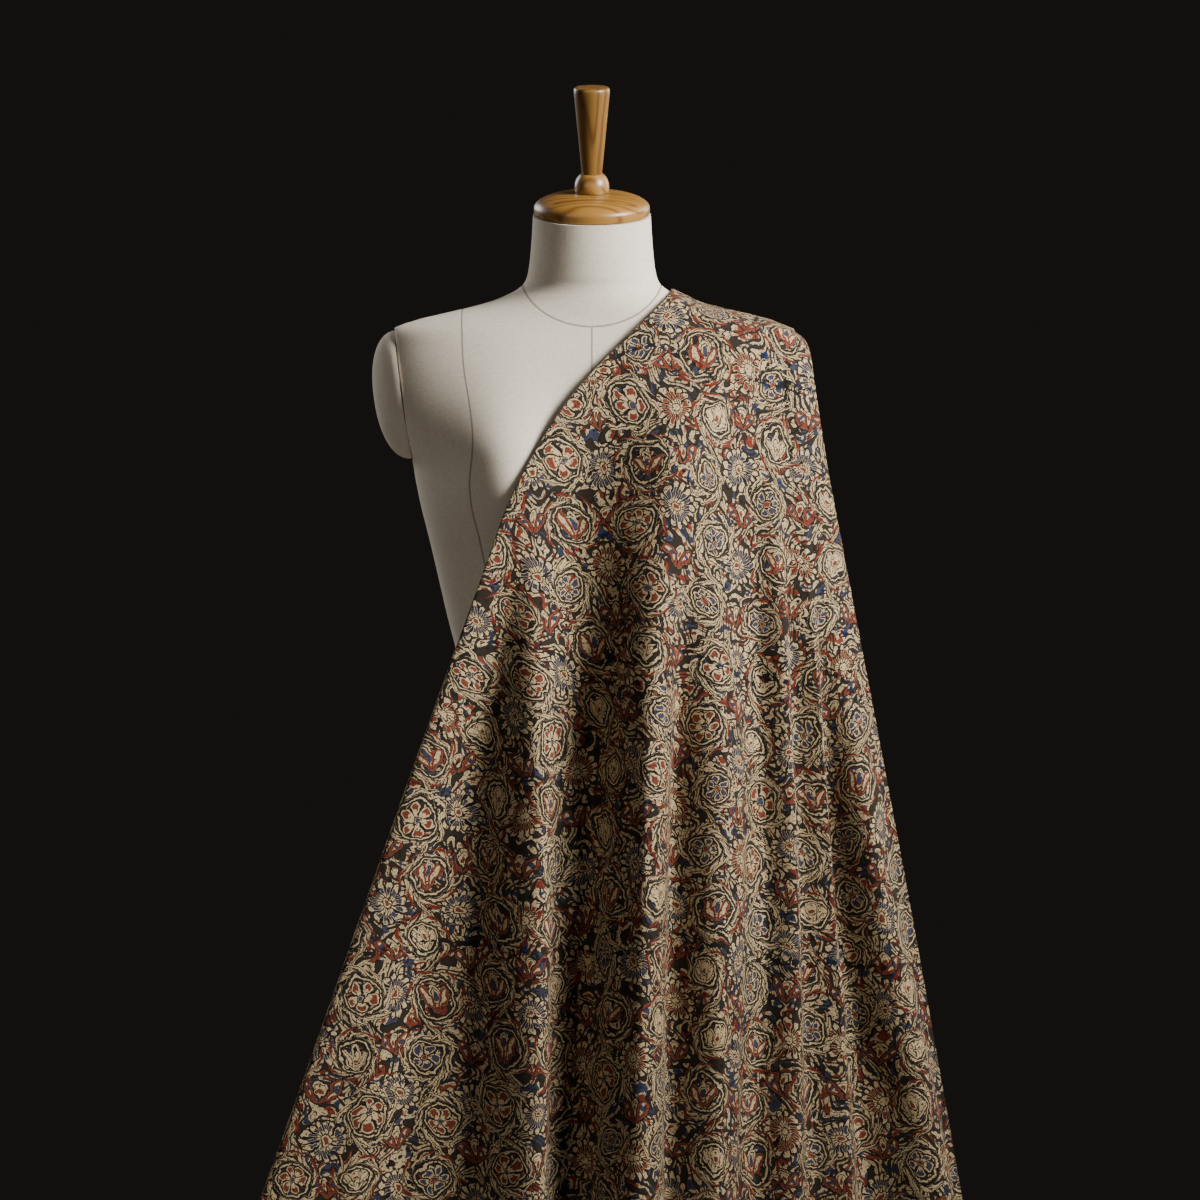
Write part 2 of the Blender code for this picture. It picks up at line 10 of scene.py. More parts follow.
import bmesh
import bpy
import numpy as np
from mathutils import Matrix, Vector


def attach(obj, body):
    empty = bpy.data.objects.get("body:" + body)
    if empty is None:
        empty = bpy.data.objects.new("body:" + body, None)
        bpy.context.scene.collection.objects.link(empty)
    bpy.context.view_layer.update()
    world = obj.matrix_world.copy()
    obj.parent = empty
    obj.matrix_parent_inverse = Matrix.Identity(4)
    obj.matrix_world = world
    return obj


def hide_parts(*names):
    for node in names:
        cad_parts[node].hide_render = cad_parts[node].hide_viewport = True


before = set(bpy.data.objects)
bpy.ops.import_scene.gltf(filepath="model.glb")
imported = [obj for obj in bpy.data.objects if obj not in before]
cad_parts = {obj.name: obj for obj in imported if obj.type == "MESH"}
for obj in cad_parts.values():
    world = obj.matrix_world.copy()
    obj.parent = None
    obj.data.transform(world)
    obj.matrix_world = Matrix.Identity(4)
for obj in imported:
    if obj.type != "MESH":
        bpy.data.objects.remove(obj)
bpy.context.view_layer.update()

# Form, as in the part
ARM_TOP = 1.357
ARM_PLANE_TOP = 0.195
ARM_PLANE_LEAN = 0.130
ARM_BOTTOM = 1.230
ARM_MIDDLE = 1.2925
ARM_MIDDLE_Y = 0.001
ARM_HALF_HEIGHT = 0.0615
ARM_HALF_DEPTH = 0.0465
ARM_PROUD = 0.0300
ARM_ROUNDNESS = 2.2
BUST_X = 0.086
BUST_HEIGHT = 1.212
BUST_PROUD = 0.036
BUST_SPREAD_X = 0.052
BUST_SPREAD_UP = 0.078
BUST_SPREAD_DOWN = 0.055
BUST_ROUNDING = 2.0
NECK_SLANT = math.radians(10.0)
CAP_RADIUS = 0.0570
CAP_RIM = 0.007
CAP_DOME = 0.0150
CAP_SEAT_RADIUS = 0.012
CAP_EDGE = 0.0021
BALL_RADIUS = 0.017
BALL_CENTRE = 0.0280
HANDLE_BOTTOM = 0.0412
HANDLE_TOP = 0.1260
HANDLE_BOTTOM_RADIUS = 0.0099
HANDLE_TOP_RADIUS = 0.0176
GAP = 0.0003

# Finer make of the form: rounded armholes, and arm caps that ease out of the form. The cap on
# the bare side stands fuller, as in the photo.
ARMHOLE_ROUND = 0.004
PAD_FULLNESS = 0.0026
PAD_EASE = 1.45
PAD_RINGS = 22
ARM_CAPS = [(-1, "arm_cap_bare_side", PAD_FULLNESS), (1, "arm_cap_cloth_side", 0.0)]
COVER_AROUND = 144
COVER_BETWEEN = 6
COVER_SHARP = math.radians(35.0)
PIECE_SHARP = math.radians(50.0)
WELD = 0.000001
TURNING_STEPS = 72
DOME_STEPS = 24
EDGE_STEPS = 5
BALL_STEPS = 28
HANDLE_STEPS = 16
HANDLE_LIP = 0.0028
LIP_STEPS = 6

Section = namedtuple("Section", "height half_width front back middle square slant",
                     defaults=(0.0, 2.20, 0.0))
SECTIONS = [Section(*row) for row in [
    (1.4700, 0.0580, 0.0590, 0.0590, -0.012, 2.00, 1.0),
    (1.4400, 0.0599, 0.0605, 0.0605, -0.008, 2.00, 0.7),
    (1.4150, 0.0628, 0.0620, 0.0625, -0.004, 2.00, 0.3),
    (1.4030, 0.0670, 0.0632, 0.0645, -0.001, 2.00),
    (1.3960, 0.0750, 0.0640, 0.0660, 0.000, 2.00),
    (1.3910, 0.0845, 0.0645, 0.0680, 0.000, 2.00),
    (1.3860, 0.0965, 0.0650, 0.0700, 0.000, 2.00),
    (1.3810, 0.1130, 0.0655, 0.0730, 0.000, 2.00),
    (1.3760, 0.1335, 0.0660, 0.0760, 0.000, 2.00),
    (1.3710, 0.1550, 0.0665, 0.0790, 0.000, 2.02),
    (1.3660, 0.1750, 0.0675, 0.0820, 0.000, 2.04),
    (1.3565, 0.1990, 0.0705, 0.0880, 0.000, 2.08),
    (1.3400, 0.2060, 0.0770, 0.0950, 0.000, 2.12),
    (1.3150, 0.2080, 0.0860, 0.1020, 0.000, 2.16),
    (1.2850, 0.2050, 0.0950, 0.1080),
    (1.2550, 0.1960, 0.1020, 0.1110),
    (1.2300, 0.1800, 0.1040, 0.1120),
    (1.2070, 0.1753, 0.1040, 0.1110),
    (1.1800, 0.1698, 0.1025, 0.1085),
    (1.1470, 0.1617, 0.1000, 0.1040),
    (1.1120, 0.1537, 0.0970, 0.0985),
    (1.0700, 0.1442, 0.0915, 0.0910),
    (1.0300, 0.1345, 0.0870, 0.0850),
    (0.9900, 0.1290, 0.0860, 0.0820),
    (0.9450, 0.1400, 0.0920, 0.0910),
    (0.8950, 0.1585, 0.1000, 0.1045),
    (0.8450, 0.1715, 0.1060, 0.1165),
    (0.7970, 0.1760, 0.1090, 0.1220),
    (0.7570, 0.1730, 0.1070, 0.1200),
]]
NECK_TOP = SECTIONS[0]

# Cloth. Its fall is the part's; it is thinner and lies closer at the shoulder and the turned edge.
CLOTH_THICK = 0.0008
REST_GAP = 0.0010
BODY_GAP = 0.0050
HIP_GAP = 0.0140
REST_FADE = 0.012
TURN_PITCH_TOP = 0.0016
TURN_PITCH_HEM = 0.0110
TURN_FULL_HEIGHT = 0.70
TURN_PART_HEM = 0.20
TURN_LINES = 2
UNDER_FADE = 0.10
HEM_HEIGHT = 0.130
BACK_HEM_HEIGHT = 0.185
SLANT_OF_FALL = 0.050
SIDE_CLOSING = 1.9
SIDE_SHARPNESS = 4.0
SIDE_REACH = 0.008
FRONT_ROWS = 24
BACK_ROWS = 17
FOLD_FADE = 0.30
FOLD_GROWTH = 1.30
HANG_STEPS = 64
HANG_PASSES = 60
STATIONS = 79
HEIGHT_STEP = 0.0002
FACING_STEP = 0.02

# Fold lines: the turned edge, valleys (-) and crests (+) by turns, and the outer selvedge. Each has
# its X on the shoulder, at the heights in LEVELS and at the hem, how far it stands out, the height
# at which it begins, and how many strips of the solid lie before it.
Line = namedtuple("Line", "shoulder chest bust ribs hip knee hem out start strips",
                  defaults=(1.20, 0))
LEVELS = [1.300, 1.210, 1.140, 0.800, 0.500]
TRACKS = Line._fields[1:7]
FRONT_LINES = [Line(*row) for row in [
    (0.081, -0.0165, -0.0722, -0.0985, -0.2170, -0.3245, -0.467, -0.008, 1.16, 0),
    (0.086, 0.0000, -0.0620, -0.0760, -0.1170, -0.1220, -0.128, -0.030, 1.20, 4),
    (0.093, 0.0200, -0.0420, -0.0540, -0.0540, -0.0590, -0.064, 0.015, 1.22, 3),
    (0.104, 0.0480, 0.0080, 0.0030, -0.0140, -0.0240, -0.030, -0.015, 1.24, 3),
    (0.124, 0.0880, 0.0680, 0.0640, 0.0540, 0.0490, 0.046, 0.024, 1.24, 4),
    (0.137, 0.1100, 0.0980, 0.0940, 0.0860, 0.0830, 0.080, -0.018, 1.20, 3),
    (0.147, 0.1250, 0.1190, 0.1190, 0.1200, 0.1120, 0.108, 0.016, 1.20, 3),
    (0.164, 0.1500, 0.1580, 0.1630, 0.1760, 0.1660, 0.160, -0.013, 1.30, 3),
    (0.175, 0.1650, 0.1740, 0.1800, 0.1970, 0.2000, 0.203, 0.007, 1.30, 2),
    (0.184, 0.1770, 0.1870, 0.1940, 0.2115, 0.2240, 0.236, -0.007, 1.24, 2),
    (0.192, 0.1890, 0.2000, 0.2080, 0.2336, 0.2540, 0.272, 0.010, 1.26, 2),
    (0.199, 0.1990, 0.2100, 0.2190, 0.2490, 0.2810, 0.308, -0.015, 1.12, 2),
    (0.205, 0.2080, 0.2210, 0.2310, 0.2790, 0.3410, 0.380, 0.018, 1.12, 3),
    (0.215, 0.2205, 0.2355, 0.2495, 0.3163, 0.3720, 0.440, 0.000, 1.12, 4),
]]
BACK_LINES = [Line(*row) for row in [
    (0.081, 0.0080, -0.0400, -0.0680, -0.1880, -0.2800, -0.400, 0.000),
    (0.092, 0.0370, 0.0020, -0.0200, -0.1130, -0.1800, -0.270, -0.028),
    (0.109, 0.0700, 0.0430, 0.0280, -0.0280, -0.0790, -0.145, 0.026),
    (0.129, 0.1020, 0.0850, 0.0760, 0.0500, 0.0210, -0.020, -0.030),
    (0.149, 0.1330, 0.1260, 0.1230, 0.1230, 0.1130, 0.098, 0.028),
    (0.170, 0.1640, 0.1650, 0.1670, 0.1880, 0.1980, 0.206, -0.024),
    (0.193, 0.1930, 0.1980, 0.2040, 0.2460, 0.2750, 0.308, 0.018),
    (0.215, 0.2170, 0.2280, 0.2390, 0.3000, 0.3450, 0.395, 0.000),
]]

# Fine make of the cloth: how often each strip and row of the solid is split, the turns of the
# bend at its edge, and the front line that its grain runs along
FINE = 6
BEND_DEGREES = (30.0, 60.0, 90.0, 120.0, 150.0)
GRAIN_LINE = 6

# Creases of the front, each a soft trough (-) or ridge (+) between two places on the fall:
# X and height of both ends, how far it stands out, and its half width
Crease = namedtuple("Crease", "x_from z_from x_to z_to out half_width")
CREASE_TAPER = 0.3
CREASES = [Crease(*row) for row in [
    (0.090, 1.375, 0.020, 1.285, 0.0012, 0.010),
    (0.110, 1.368, 0.050, 1.270, -0.0014, 0.012),
    (0.140, 1.355, 0.105, 1.240, 0.0014, 0.012),
    (0.168, 1.350, 0.150, 1.250, -0.0022, 0.012),
    (0.190, 1.345, 0.182, 1.230, 0.0016, 0.009),
    (0.030, 1.290, -0.030, 1.215, -0.0016, 0.012),
    (0.060, 1.180, 0.010, 1.120, 0.0018, 0.014),
    (0.240, 0.735, 0.268, 0.640, 0.0040, 0.010),
    (0.262, 0.700, 0.322, 0.520, -0.0060, 0.012),
    (0.104, 1.120, 0.112, 0.450, 0.0034, 0.008),
    (0.048, 1.050, 0.026, 0.400, -0.0045, 0.010),
    (0.022, 1.000, 0.010, 0.300, 0.0032, 0.008),
    (-0.082, 1.020, -0.098, 0.350, 0.0040, 0.011),
    (-0.036, 1.080, -0.040, 0.420, -0.0036, 0.010),
    (0.142, 1.060, 0.136, 0.420, 0.0036, 0.008),
    (-0.150, 0.860, -0.205, 0.360, -0.0050, 0.013),
    (-0.190, 0.780, -0.270, 0.300, 0.0050, 0.014),
    (0.212, 0.960, 0.226, 0.560, 0.0026, 0.008),
]]


def smooth_step(value):
    """Ease from 0 to 1."""
    value = np.clip(value, 0.0, 1.0)
    return value * value * (3.0 - 2.0 * value)


def full_turn(steps):
    return np.linspace(0.0, 2.0 * math.pi, steps, endpoint=False)


def smooth_through(places, values, place_at):
    """Cubic curve through values given at falling or rising places, read at many places."""
    places = np.asarray(places, dtype=float)
    values = np.asarray(values, dtype=float)
    if places[0] > places[-1]:
        places = places[::-1]
        values = values[::-1]
    place_at = np.clip(place_at, places[0], places[-1])
    low = np.maximum(np.arange(len(places)) - 1, 0)
    high = np.minimum(np.arange(len(places)) + 1, len(places) - 1)
    slopes = (values[high] - values[low]) / (places[high] - places[low])
    k = np.minimum(np.searchsorted(places, place_at, side="right") - 1, len(places) - 2)
    span = places[k + 1] - places[k]
    part = (place_at - places[k]) / span
    ease = smooth_step(part)
    start = part * (1.0 - part) ** 2 * slopes[k] * span
    end = -part * part * (1.0 - part) * slopes[k + 1] * span
    return values[k] * (1.0 - ease) + values[k + 1] * ease + start + end


# The form's shape

def arm_plane(height):
    """Distance of the flat arm plane from the form's middle."""
    return ARM_PLANE_TOP - ARM_PLANE_LEAN * (ARM_TOP - height)


def bust_swell(x, height):
    """How far the bust stands out from the plain section."""
    rise = height - BUST_HEIGHT
    spread = np.where(rise > 0.0, BUST_SPREAD_UP, BUST_SPREAD_DOWN)
    across = (np.abs(x) - BUST_X) / BUST_SPREAD_X
    return BUST_PROUD * np.exp(-across * across - (rise / spread) ** 2)


def section_field(name, height):
    """One field of the form's section at many heights."""
    heights = [section.height for section in reversed(SECTIONS)]
    values = [getattr(section, name) for section in reversed(SECTIONS)]
    return np.interp(height, heights, values)


def arm_reach(x, height, grow):
    """Half depth of the arm cap, grown all round, or zero clear of it."""
    out = (np.abs(x) - arm_plane(height)) / (ARM_PROUD + grow)
    wide = np.clip(1.0 - np.clip(out, 0.0, 1.0) ** ARM_ROUNDNESS, 0.0, 1.0)
    wide = wide ** (1.0 / ARM_ROUNDNESS)
    rise = (height - ARM_MIDDLE) / (ARM_HALF_HEIGHT + grow)
    return (ARM_HALF_DEPTH + grow) * np.sqrt(np.maximum(wide * wide - rise * rise, 0.0))


def form_reach(x, height, side, grow):
    """How far the form, grown all round, reaches to the front (-1) or the back (+1)."""
    level = height - grow
    outline = np.abs(x) / (section_field("half_width", level) + grow)
    square = section_field("square", level)
    depth = section_field("back" if side > 0 else "front", level) + grow
    reach = depth * np.maximum(1.0 - outline ** square, 0.0) ** (1.0 / square)
    if side < 0:
        rounding = np.minimum(1.0, BUST_ROUNDING * reach / depth)
        reach = reach + (reach > 0.0) * bust_swell(x, height) * rounding
    arm = arm_reach(x, height, grow)
    return np.where(arm > 0.0, np.maximum(reach, arm + side * ARM_MIDDLE_Y), reach)


def form_rings(around, between):
    """Rings of points on the form from the neck down, finer than its sections."""
    index = np.arange(len(SECTIONS), dtype=float)
    fine = np.linspace(0.0, len(SECTIONS) - 1.0, (len(SECTIONS) - 1) * between + 1)
    fields = {name: smooth_through(index, [getattr(s, name) for s in SECTIONS], fine)
              for name in Section._fields}
    turn = full_turn(around)
    rings = []
    for k in range(len(fine)):
        part = {name: values[k] for name, values in fields.items()}
        power = 2.0 / part["square"]
        across, along = [np.sign(v) * np.abs(v) ** power for v in (np.cos(turn), np.sin(turn))]
        x = part["half_width"] * across
        y = np.where(along > 0.0, part["back"], part["front"]) * along
        swell = bust_swell(x, part["height"]) * np.minimum(1.0, -BUST_ROUNDING * along)
        y = np.where(along < 0.0, y - swell, y)
        if ARM_BOTTOM <= part["height"] <= ARM_TOP:
            flat = arm_plane(part["height"]) - ARMHOLE_ROUND
            past = np.maximum(np.abs(x) - flat, 0.0)
            rounded = flat + ARMHOLE_ROUND * np.tanh(past / ARMHOLE_ROUND)
            x = np.where(past > 0.0, np.sign(x) * rounded, x)
        z = part["height"] + y * math.tan(NECK_SLANT) * part["slant"]
        rings.append(np.stack([x, y + part["middle"], z], axis=1))
    return rings


# The cloth's shape

def line_value(lines, station, values):
    """Values given on the lines, read at many stations from 0 at the edge to 1."""
    return np.interp(station, np.linspace(0.0, 1.0, len(lines)), values)


def turn_part(height):
    """Share of its full reach that the turned-under edge has at a height."""
    low = smooth_step((TURN_FULL_HEIGHT - height) / (TURN_FULL_HEIGHT - HEM_HEIGHT))
    return 1.0 + (TURN_PART_HEM - 1.0) * low


def turn_pitch(height):
    """Distance from the outer layer to the turned-under layer."""
    part = smooth_step((LEVELS[0] - height) / (LEVELS[0] - LEVELS[3]))
    return TURN_PITCH_TOP + (TURN_PITCH_HEM - TURN_PITCH_TOP) * part


def rest_distance(station, height, top):
    """Distance of the cloth's middle from the form, more where a turned layer lies below."""
    turned_to = TURN_LINES * turn_part(height) / (len(FRONT_LINES) - 1)
    under = 1.0 - smooth_step((station - turned_to) / UNDER_FADE)
    low = smooth_step((LEVELS[1] - height) / (LEVELS[1] - LEVELS[3]))
    off_shoulder = BODY_GAP + (HIP_GAP - BODY_GAP) * low
    gap = REST_GAP + (off_shoulder - REST_GAP) * smooth_step((top - height) / REST_FADE)
    return 0.5 * CLOTH_THICK + gap + under * turn_pitch(height)


def shoulder_height(x, grow):
    """Height at which the grown form ends above each X."""
    heights = np.arange(NECK_TOP.height, ARM_BOTTOM, -HEIGHT_STEP)
    reach = form_reach(x[:, None], heights[None, :], -1, grow[:, None])
    return heights[np.argmax(reach > 0.0, axis=1)]


def hang(lines, side, bottom):
    """The fall before its folds: heights, X, distance from the middle, and room to the form."""
    station = np.linspace(0.0, 1.0, STATIONS)
    shoulder = line_value(FRONT_LINES, station, [line.shoulder for line in FRONT_LINES])
    top = shoulder_height(shoulder, rest_distance(station, NECK_TOP.height, 0.0))
    part = (np.arange(HANG_STEPS + 1) / HANG_STEPS) ** 2
    heights = top[:, None] + (bottom - top)[:, None] * part[None, :]
    tracks = [line_value(lines, station, [getattr(line, name) for line in lines])
              for name in TRACKS]
    xs = np.empty_like(heights)
    for k in range(STATIONS):
        track = [shoulder[k]] + [values[k] for values in tracks]
        xs[k] = smooth_through([top[k]] + LEVELS + [bottom], track, heights[k])
    grow = rest_distance(station[:, None], heights, top[:, None])
    floor = form_reach(xs, heights, side, grow)
    floor[:, 0] = 0.0
    reach = floor.copy()
    slant = SLANT_OF_FALL * (1.0 - SIDE_CLOSING * station ** SIDE_SHARPNESS)
    for k in range(1, HANG_STEPS + 1):
        fallen = reach[:, k - 1] + slant * (heights[:, k - 1] - heights[:, k])
        reach[:, k] = np.maximum(np.maximum(floor[:, k], fallen), SIDE_REACH)
    for _ in range(HANG_PASSES):
        for k in range(1, HANG_STEPS):
            share = (heights[:, k - 1] - heights[:, k]) / (heights[:, k - 1] - heights[:, k + 1])
            straight = reach[:, k - 1] * (1.0 - share) + reach[:, k + 1] * share
            reach[:, k] = np.maximum(floor[:, k], straight)
    return heights, xs, reach, reach - floor


def read_table(table, station, down):
    """Read a table over station and way down at a grid of both."""
    across = np.clip(station, 0.0, 1.0) * (table.shape[0] - 1)
    along = np.clip(down, 0.0, 1.0) * (table.shape[1] - 1)
    i = np.minimum(across.astype(int), table.shape[0] - 2)
    j = np.minimum(along.astype(int), table.shape[1] - 2)
    u = across - i
    v = along - j
    upper = table[i, j] * (1.0 - u) + table[i + 1, j] * u
    lower = table[i, j + 1] * (1.0 - u) + table[i + 1, j + 1] * u
    return upper * (1.0 - v) + lower * v


def fold_out(lines, station, height):
    """Stand-out of the crests and valleys, easing from line to line."""
    place_on = station * (len(lines) - 1)
    k = np.minimum(place_on.astype(int), len(lines) - 2)
    ease = smooth_step(place_on - k)
    out = np.array([line.out for line in lines])
    start = np.array([line.start for line in lines])
    near = out[k] * smooth_step((start[k] - height) / FOLD_FADE)
    far = out[k + 1] * smooth_step((start[k + 1] - height) / FOLD_FADE)
    low = np.clip((LEVELS[2] - height) / (LEVELS[2] - HEM_HEIGHT), 0.0, 1.0)
    growth = 1.0 + (FOLD_GROWTH - 1.0) * low
    return growth * (near * (1.0 - ease) + far * ease)


def crease_out(x, height):
    """Stand-out of the listed creases."""
    out = np.zeros_like(x)
    for crease in CREASES:
        along = np.array([crease.x_to - crease.x_from, crease.z_to - crease.z_from])
        length = np.hypot(*along)
        along /= length
        run = (x - crease.x_from) * along[0] + (height - crease.z_from) * along[1]
        off = (x - crease.x_from) * along[1] - (height - crease.z_from) * along[0]
        taper = CREASE_TAPER * length
        taper = smooth_step(run / taper) * smooth_step((length - run) / taper)
        out += crease.out * taper * np.exp(-((off / crease.half_width) ** 2))
    return out


class Fall:
    """Front or back fall of the cloth, sampled over grids of station and way down."""

    def __init__(self, lines, side, bottom):
        self.lines = lines
        self.side = side
        self.heights, self.xs, self.reach, self.room = hang(lines, side, bottom)

    def base(self, station, down):
        """Points of the smooth fall."""
        return np.stack([read_table(self.xs, station, down),
                         self.side * read_table(self.reach, station, down),
                         read_table(self.heights, station, down)], axis=-1)

    def outward(self, station, down):
        """Outward direction of the fall."""
        step = FACING_STEP
        across = self.base(station + step, down) - self.base(station - step, down)
        along = self.base(station, down + step) - self.base(station, down - step)
        facing = np.cross(across, along) * self.side
        return facing / np.linalg.norm(facing, axis=-1, keepdims=True)

    def points(self, station, down, under=False):
        """Middle of the sheet, or of the layer turned under it."""
        base = self.base(station, down)
        out = fold_out(self.lines, station, base[..., 2])
        if self.side < 0:
            out += crease_out(base[..., 0], base[..., 2])
        out = np.maximum(out, -read_table(self.room, station, down))
        if under:
            out = out - turn_pitch(base[..., 2])
        return base + self.outward(station, down) * out[..., None]


def fine_stations():
    """Stations of the outer layer: those of the solid, each strip split finer."""
    stations = [0.0]
    for k, line in enumerate(FRONT_LINES[1:]):
        strips = line.strips * FINE
        for strip in range(strips):
            stations.append((k + (strip + 1) / strips) / (len(FRONT_LINES) - 1))
    return np.array(stations)


def fall_rows(fall, rows):
    """Grid of one fall from the shoulder down, with its flat places in metres beside it."""
    stations = fine_stations()
    down = np.arange(rows * FINE + 1) / (rows * FINE)
    grid_down, grid_station = np.meshgrid(down, stations, indexing="ij")
    outer = fall.points(grid_station, grid_down)
    turned = sum(line.strips for line in FRONT_LINES[:TURN_LINES + 1]) * FINE
    part = turn_part(fall.base(np.zeros_like(down), down)[:, 2])
    under_station = part[:, None] * stations[None, turned:0:-1]
    under_down = np.repeat(down[:, None], turned, axis=1)
    under = fall.points(under_station, under_down, under=True)
    inner = fall.points(np.zeros((len(down), 1)), down[:, None], under=True)
    inward = fall.points(np.full((len(down), 1), FACING_STEP), down[:, None]) - outer[:, :1]
    inward /= np.linalg.norm(inward, axis=-1, keepdims=True)
    middle = 0.5 * (outer[:, :1] + inner)
    radius = 0.5 * np.linalg.norm(outer[:, :1] - inner, axis=-1, keepdims=True)
    bend = []
    for turn in np.radians(BEND_DEGREES):
        bend.append(middle + (inner - middle) * math.cos(turn) - inward * radius * math.sin(turn))
    points = np.concatenate([under, inner] + bend + [outer], axis=1)
    return points, flat_places(fall, points, points.shape[1] - len(stations))


def run_along(steps, axis):
    """Distance run along one axis of a grid, from 0 on."""
    return np.insert(np.cumsum(steps, axis=axis), 0, 0.0, axis=axis)


def flat_places(fall, points, edge):
    """Where each point lies on the flat cloth, with the grain upright under the shoulder."""
    step = np.diff(points, axis=1)
    arc = run_along(np.hypot(step[..., 0], step[..., 1]), 1)
    grain_station = GRAIN_LINE / (len(FRONT_LINES) - 1)
    grain = edge + int(np.argmin(np.abs(fine_stations() - grain_station)))
    across = arc - arc[:, grain:grain + 1] + points[:, grain:grain + 1, 0]
    drop = np.diff(points, axis=0)
    path = run_along(np.hypot(drop[..., 1], drop[..., 2]), 0)
    along = points[:1, :, 2] + fall.side * path
    return np.stack([across, along], axis=-1)


def new_object(name, data):
    made = bpy.data.objects.new(name, data)
    bpy.context.scene.collection.objects.link(made)
    return made


def grid_object(name, points, flat=None, closed=False):
    """Mesh object over a grid of points, with its flat places as UVs in metres."""
    rows, columns = points.shape[:2]
    index = np.arange(rows * columns).reshape(rows, columns)
    after = np.roll(index, -1, axis=1) if closed else index[:, 1:]
    before = index if closed else index[:, :-1]
    quads = np.stack([before[:-1], before[1:], after[1:], after[:-1]], axis=-1).reshape(-1, 4)
    mesh = bpy.data.meshes.new(name)
    mesh.from_pydata(points.reshape(-1, 3).tolist(), [], quads.tolist())
    if flat is not None:
        layer = mesh.uv_layers.new(name="flat_cloth")
        corner = np.empty(len(mesh.loops), dtype=np.int32)
        mesh.loops.foreach_get("vertex_index", corner)
        layer.data.foreach_set("uv", flat.reshape(-1, 2)[corner].astype(np.float32).ravel())
    mesh.shade_smooth()
    return new_object(name, mesh)


def draped_cloth(surface):
    """The whole length, back hem to front hem, as one thin sheet."""
    front, front_flat = fall_rows(Fall(FRONT_LINES, -1, HEM_HEIGHT), FRONT_ROWS)
    back, back_flat = fall_rows(Fall(BACK_LINES, 1, BACK_HEM_HEIGHT), BACK_ROWS)
    points = np.concatenate([back[:0:-1], front], axis=0)
    flat = np.concatenate([back_flat[:0:-1], front_flat], axis=0)
    cloth = grid_object("kalamkari_sheet", points, flat)
    cloth.data.materials.append(surface)
    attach(cloth, "root")
    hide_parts("kalamkari_cloth")


# The form and its turned wood

def close_up(made, sharp_from, around=0):
    """Close a piece's ends over rings of so many points, or weld them where they meet in one."""
    shape = bmesh.new()
    shape.from_mesh(made.data)
    if around:
        shape.verts.ensure_lookup_table()
        shape.faces.new(shape.verts[:around])
        shape.faces.new(shape.verts[-around:][::-1])
    else:
        bmesh.ops.remove_doubles(shape, verts=shape.verts, dist=WELD)
    bmesh.ops.recalc_face_normals(shape, faces=shape.faces)
    shape.to_mesh(made.data)
    shape.free()
    made.data.shade_smooth()
    made.data.set_sharp_from_angle(angle=sharp_from)


def form_cover(surface):
    """Linen-covered torso and neck, closed at both ends."""
    rings = np.array(form_rings(COVER_AROUND, COVER_BETWEEN))
    cover = grid_object("form_cover", rings, closed=True)
    close_up(cover, COVER_SHARP, COVER_AROUND)
    cover.data.materials.append(surface)
    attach(cover, "root")
    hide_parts("form_body")


def closed_piece(name, rings, node, surface, transform):
    """Smooth piece over closed rings, the first and last of which meet in a point."""
    made = grid_object(name, np.array(rings), closed=True)
    close_up(made, PIECE_SHARP)
    made.matrix_world = transform
    made.data.materials.append(surface)
    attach(made, "root")
    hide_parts(node)


def oval(across, along, height):
    """Level ring of points with two half widths."""
    turn = full_turn(TURNING_STEPS)
    ring = [across * np.cos(turn), along * np.sin(turn), np.full(TURNING_STEPS, height)]
    return np.stack(ring, axis=1)


def turned(name, outline, node, slot, surface, transform):
    """Solid of revolution about Z from an outline of (radius, height), top to bottom."""
    rings = [oval(radius, radius, height) for radius, height in outline]
    closed_piece(name, rings, node, surface, transform)


def arc_points(middle, radius, start, end, count):
    """Points of (radius, height) on an arc, angles from the axis in degrees."""
    points = []
    for k in range(count):
        turn = math.radians(start + (end - start) * k / (count - 1))
        points.append((middle[0] + radius * math.sin(turn), middle[1] + radius * math.cos(turn)))
    return points


def arm_caps(surface):
    """The padded oval caps over both armholes, easing out of the form to the front and back."""
    lean = math.atan(ARM_PLANE_LEAN)
    for side, name, fuller in ARM_CAPS:
        rings = [oval(0.0, 0.0, 0.0)]
        for k in range(PAD_RINGS, -1, -1):
            low = 0.5 * math.pi * k / PAD_RINGS
            proud = max(math.cos(low), 0.0) ** (2.0 / ARM_ROUNDNESS) if k < PAD_RINGS else 0.0
            high = (ARM_HALF_HEIGHT + fuller) * math.sin(low) ** (2.0 / ARM_ROUNDNESS)
            deep = ARM_HALF_DEPTH * max(1.0 - proud ** PAD_EASE, 0.0) ** (1.0 / PAD_EASE)
            rings.append(oval(deep, high, proud * ARM_PROUD))
        centre = Vector((side * (arm_plane(ARM_MIDDLE) + GAP), ARM_MIDDLE_Y, ARM_MIDDLE))
        up = Vector((side * math.sin(lean), 0.0, math.cos(lean)))
        out = Vector((side * math.cos(lean), 0.0, -math.sin(lean)))
        axes = Matrix((up.cross(out), up, out)).transposed().to_4x4()
        transform = Matrix.Translation(centre) @ axes
        closed_piece(name + "_cover", rings, name, surface, transform)


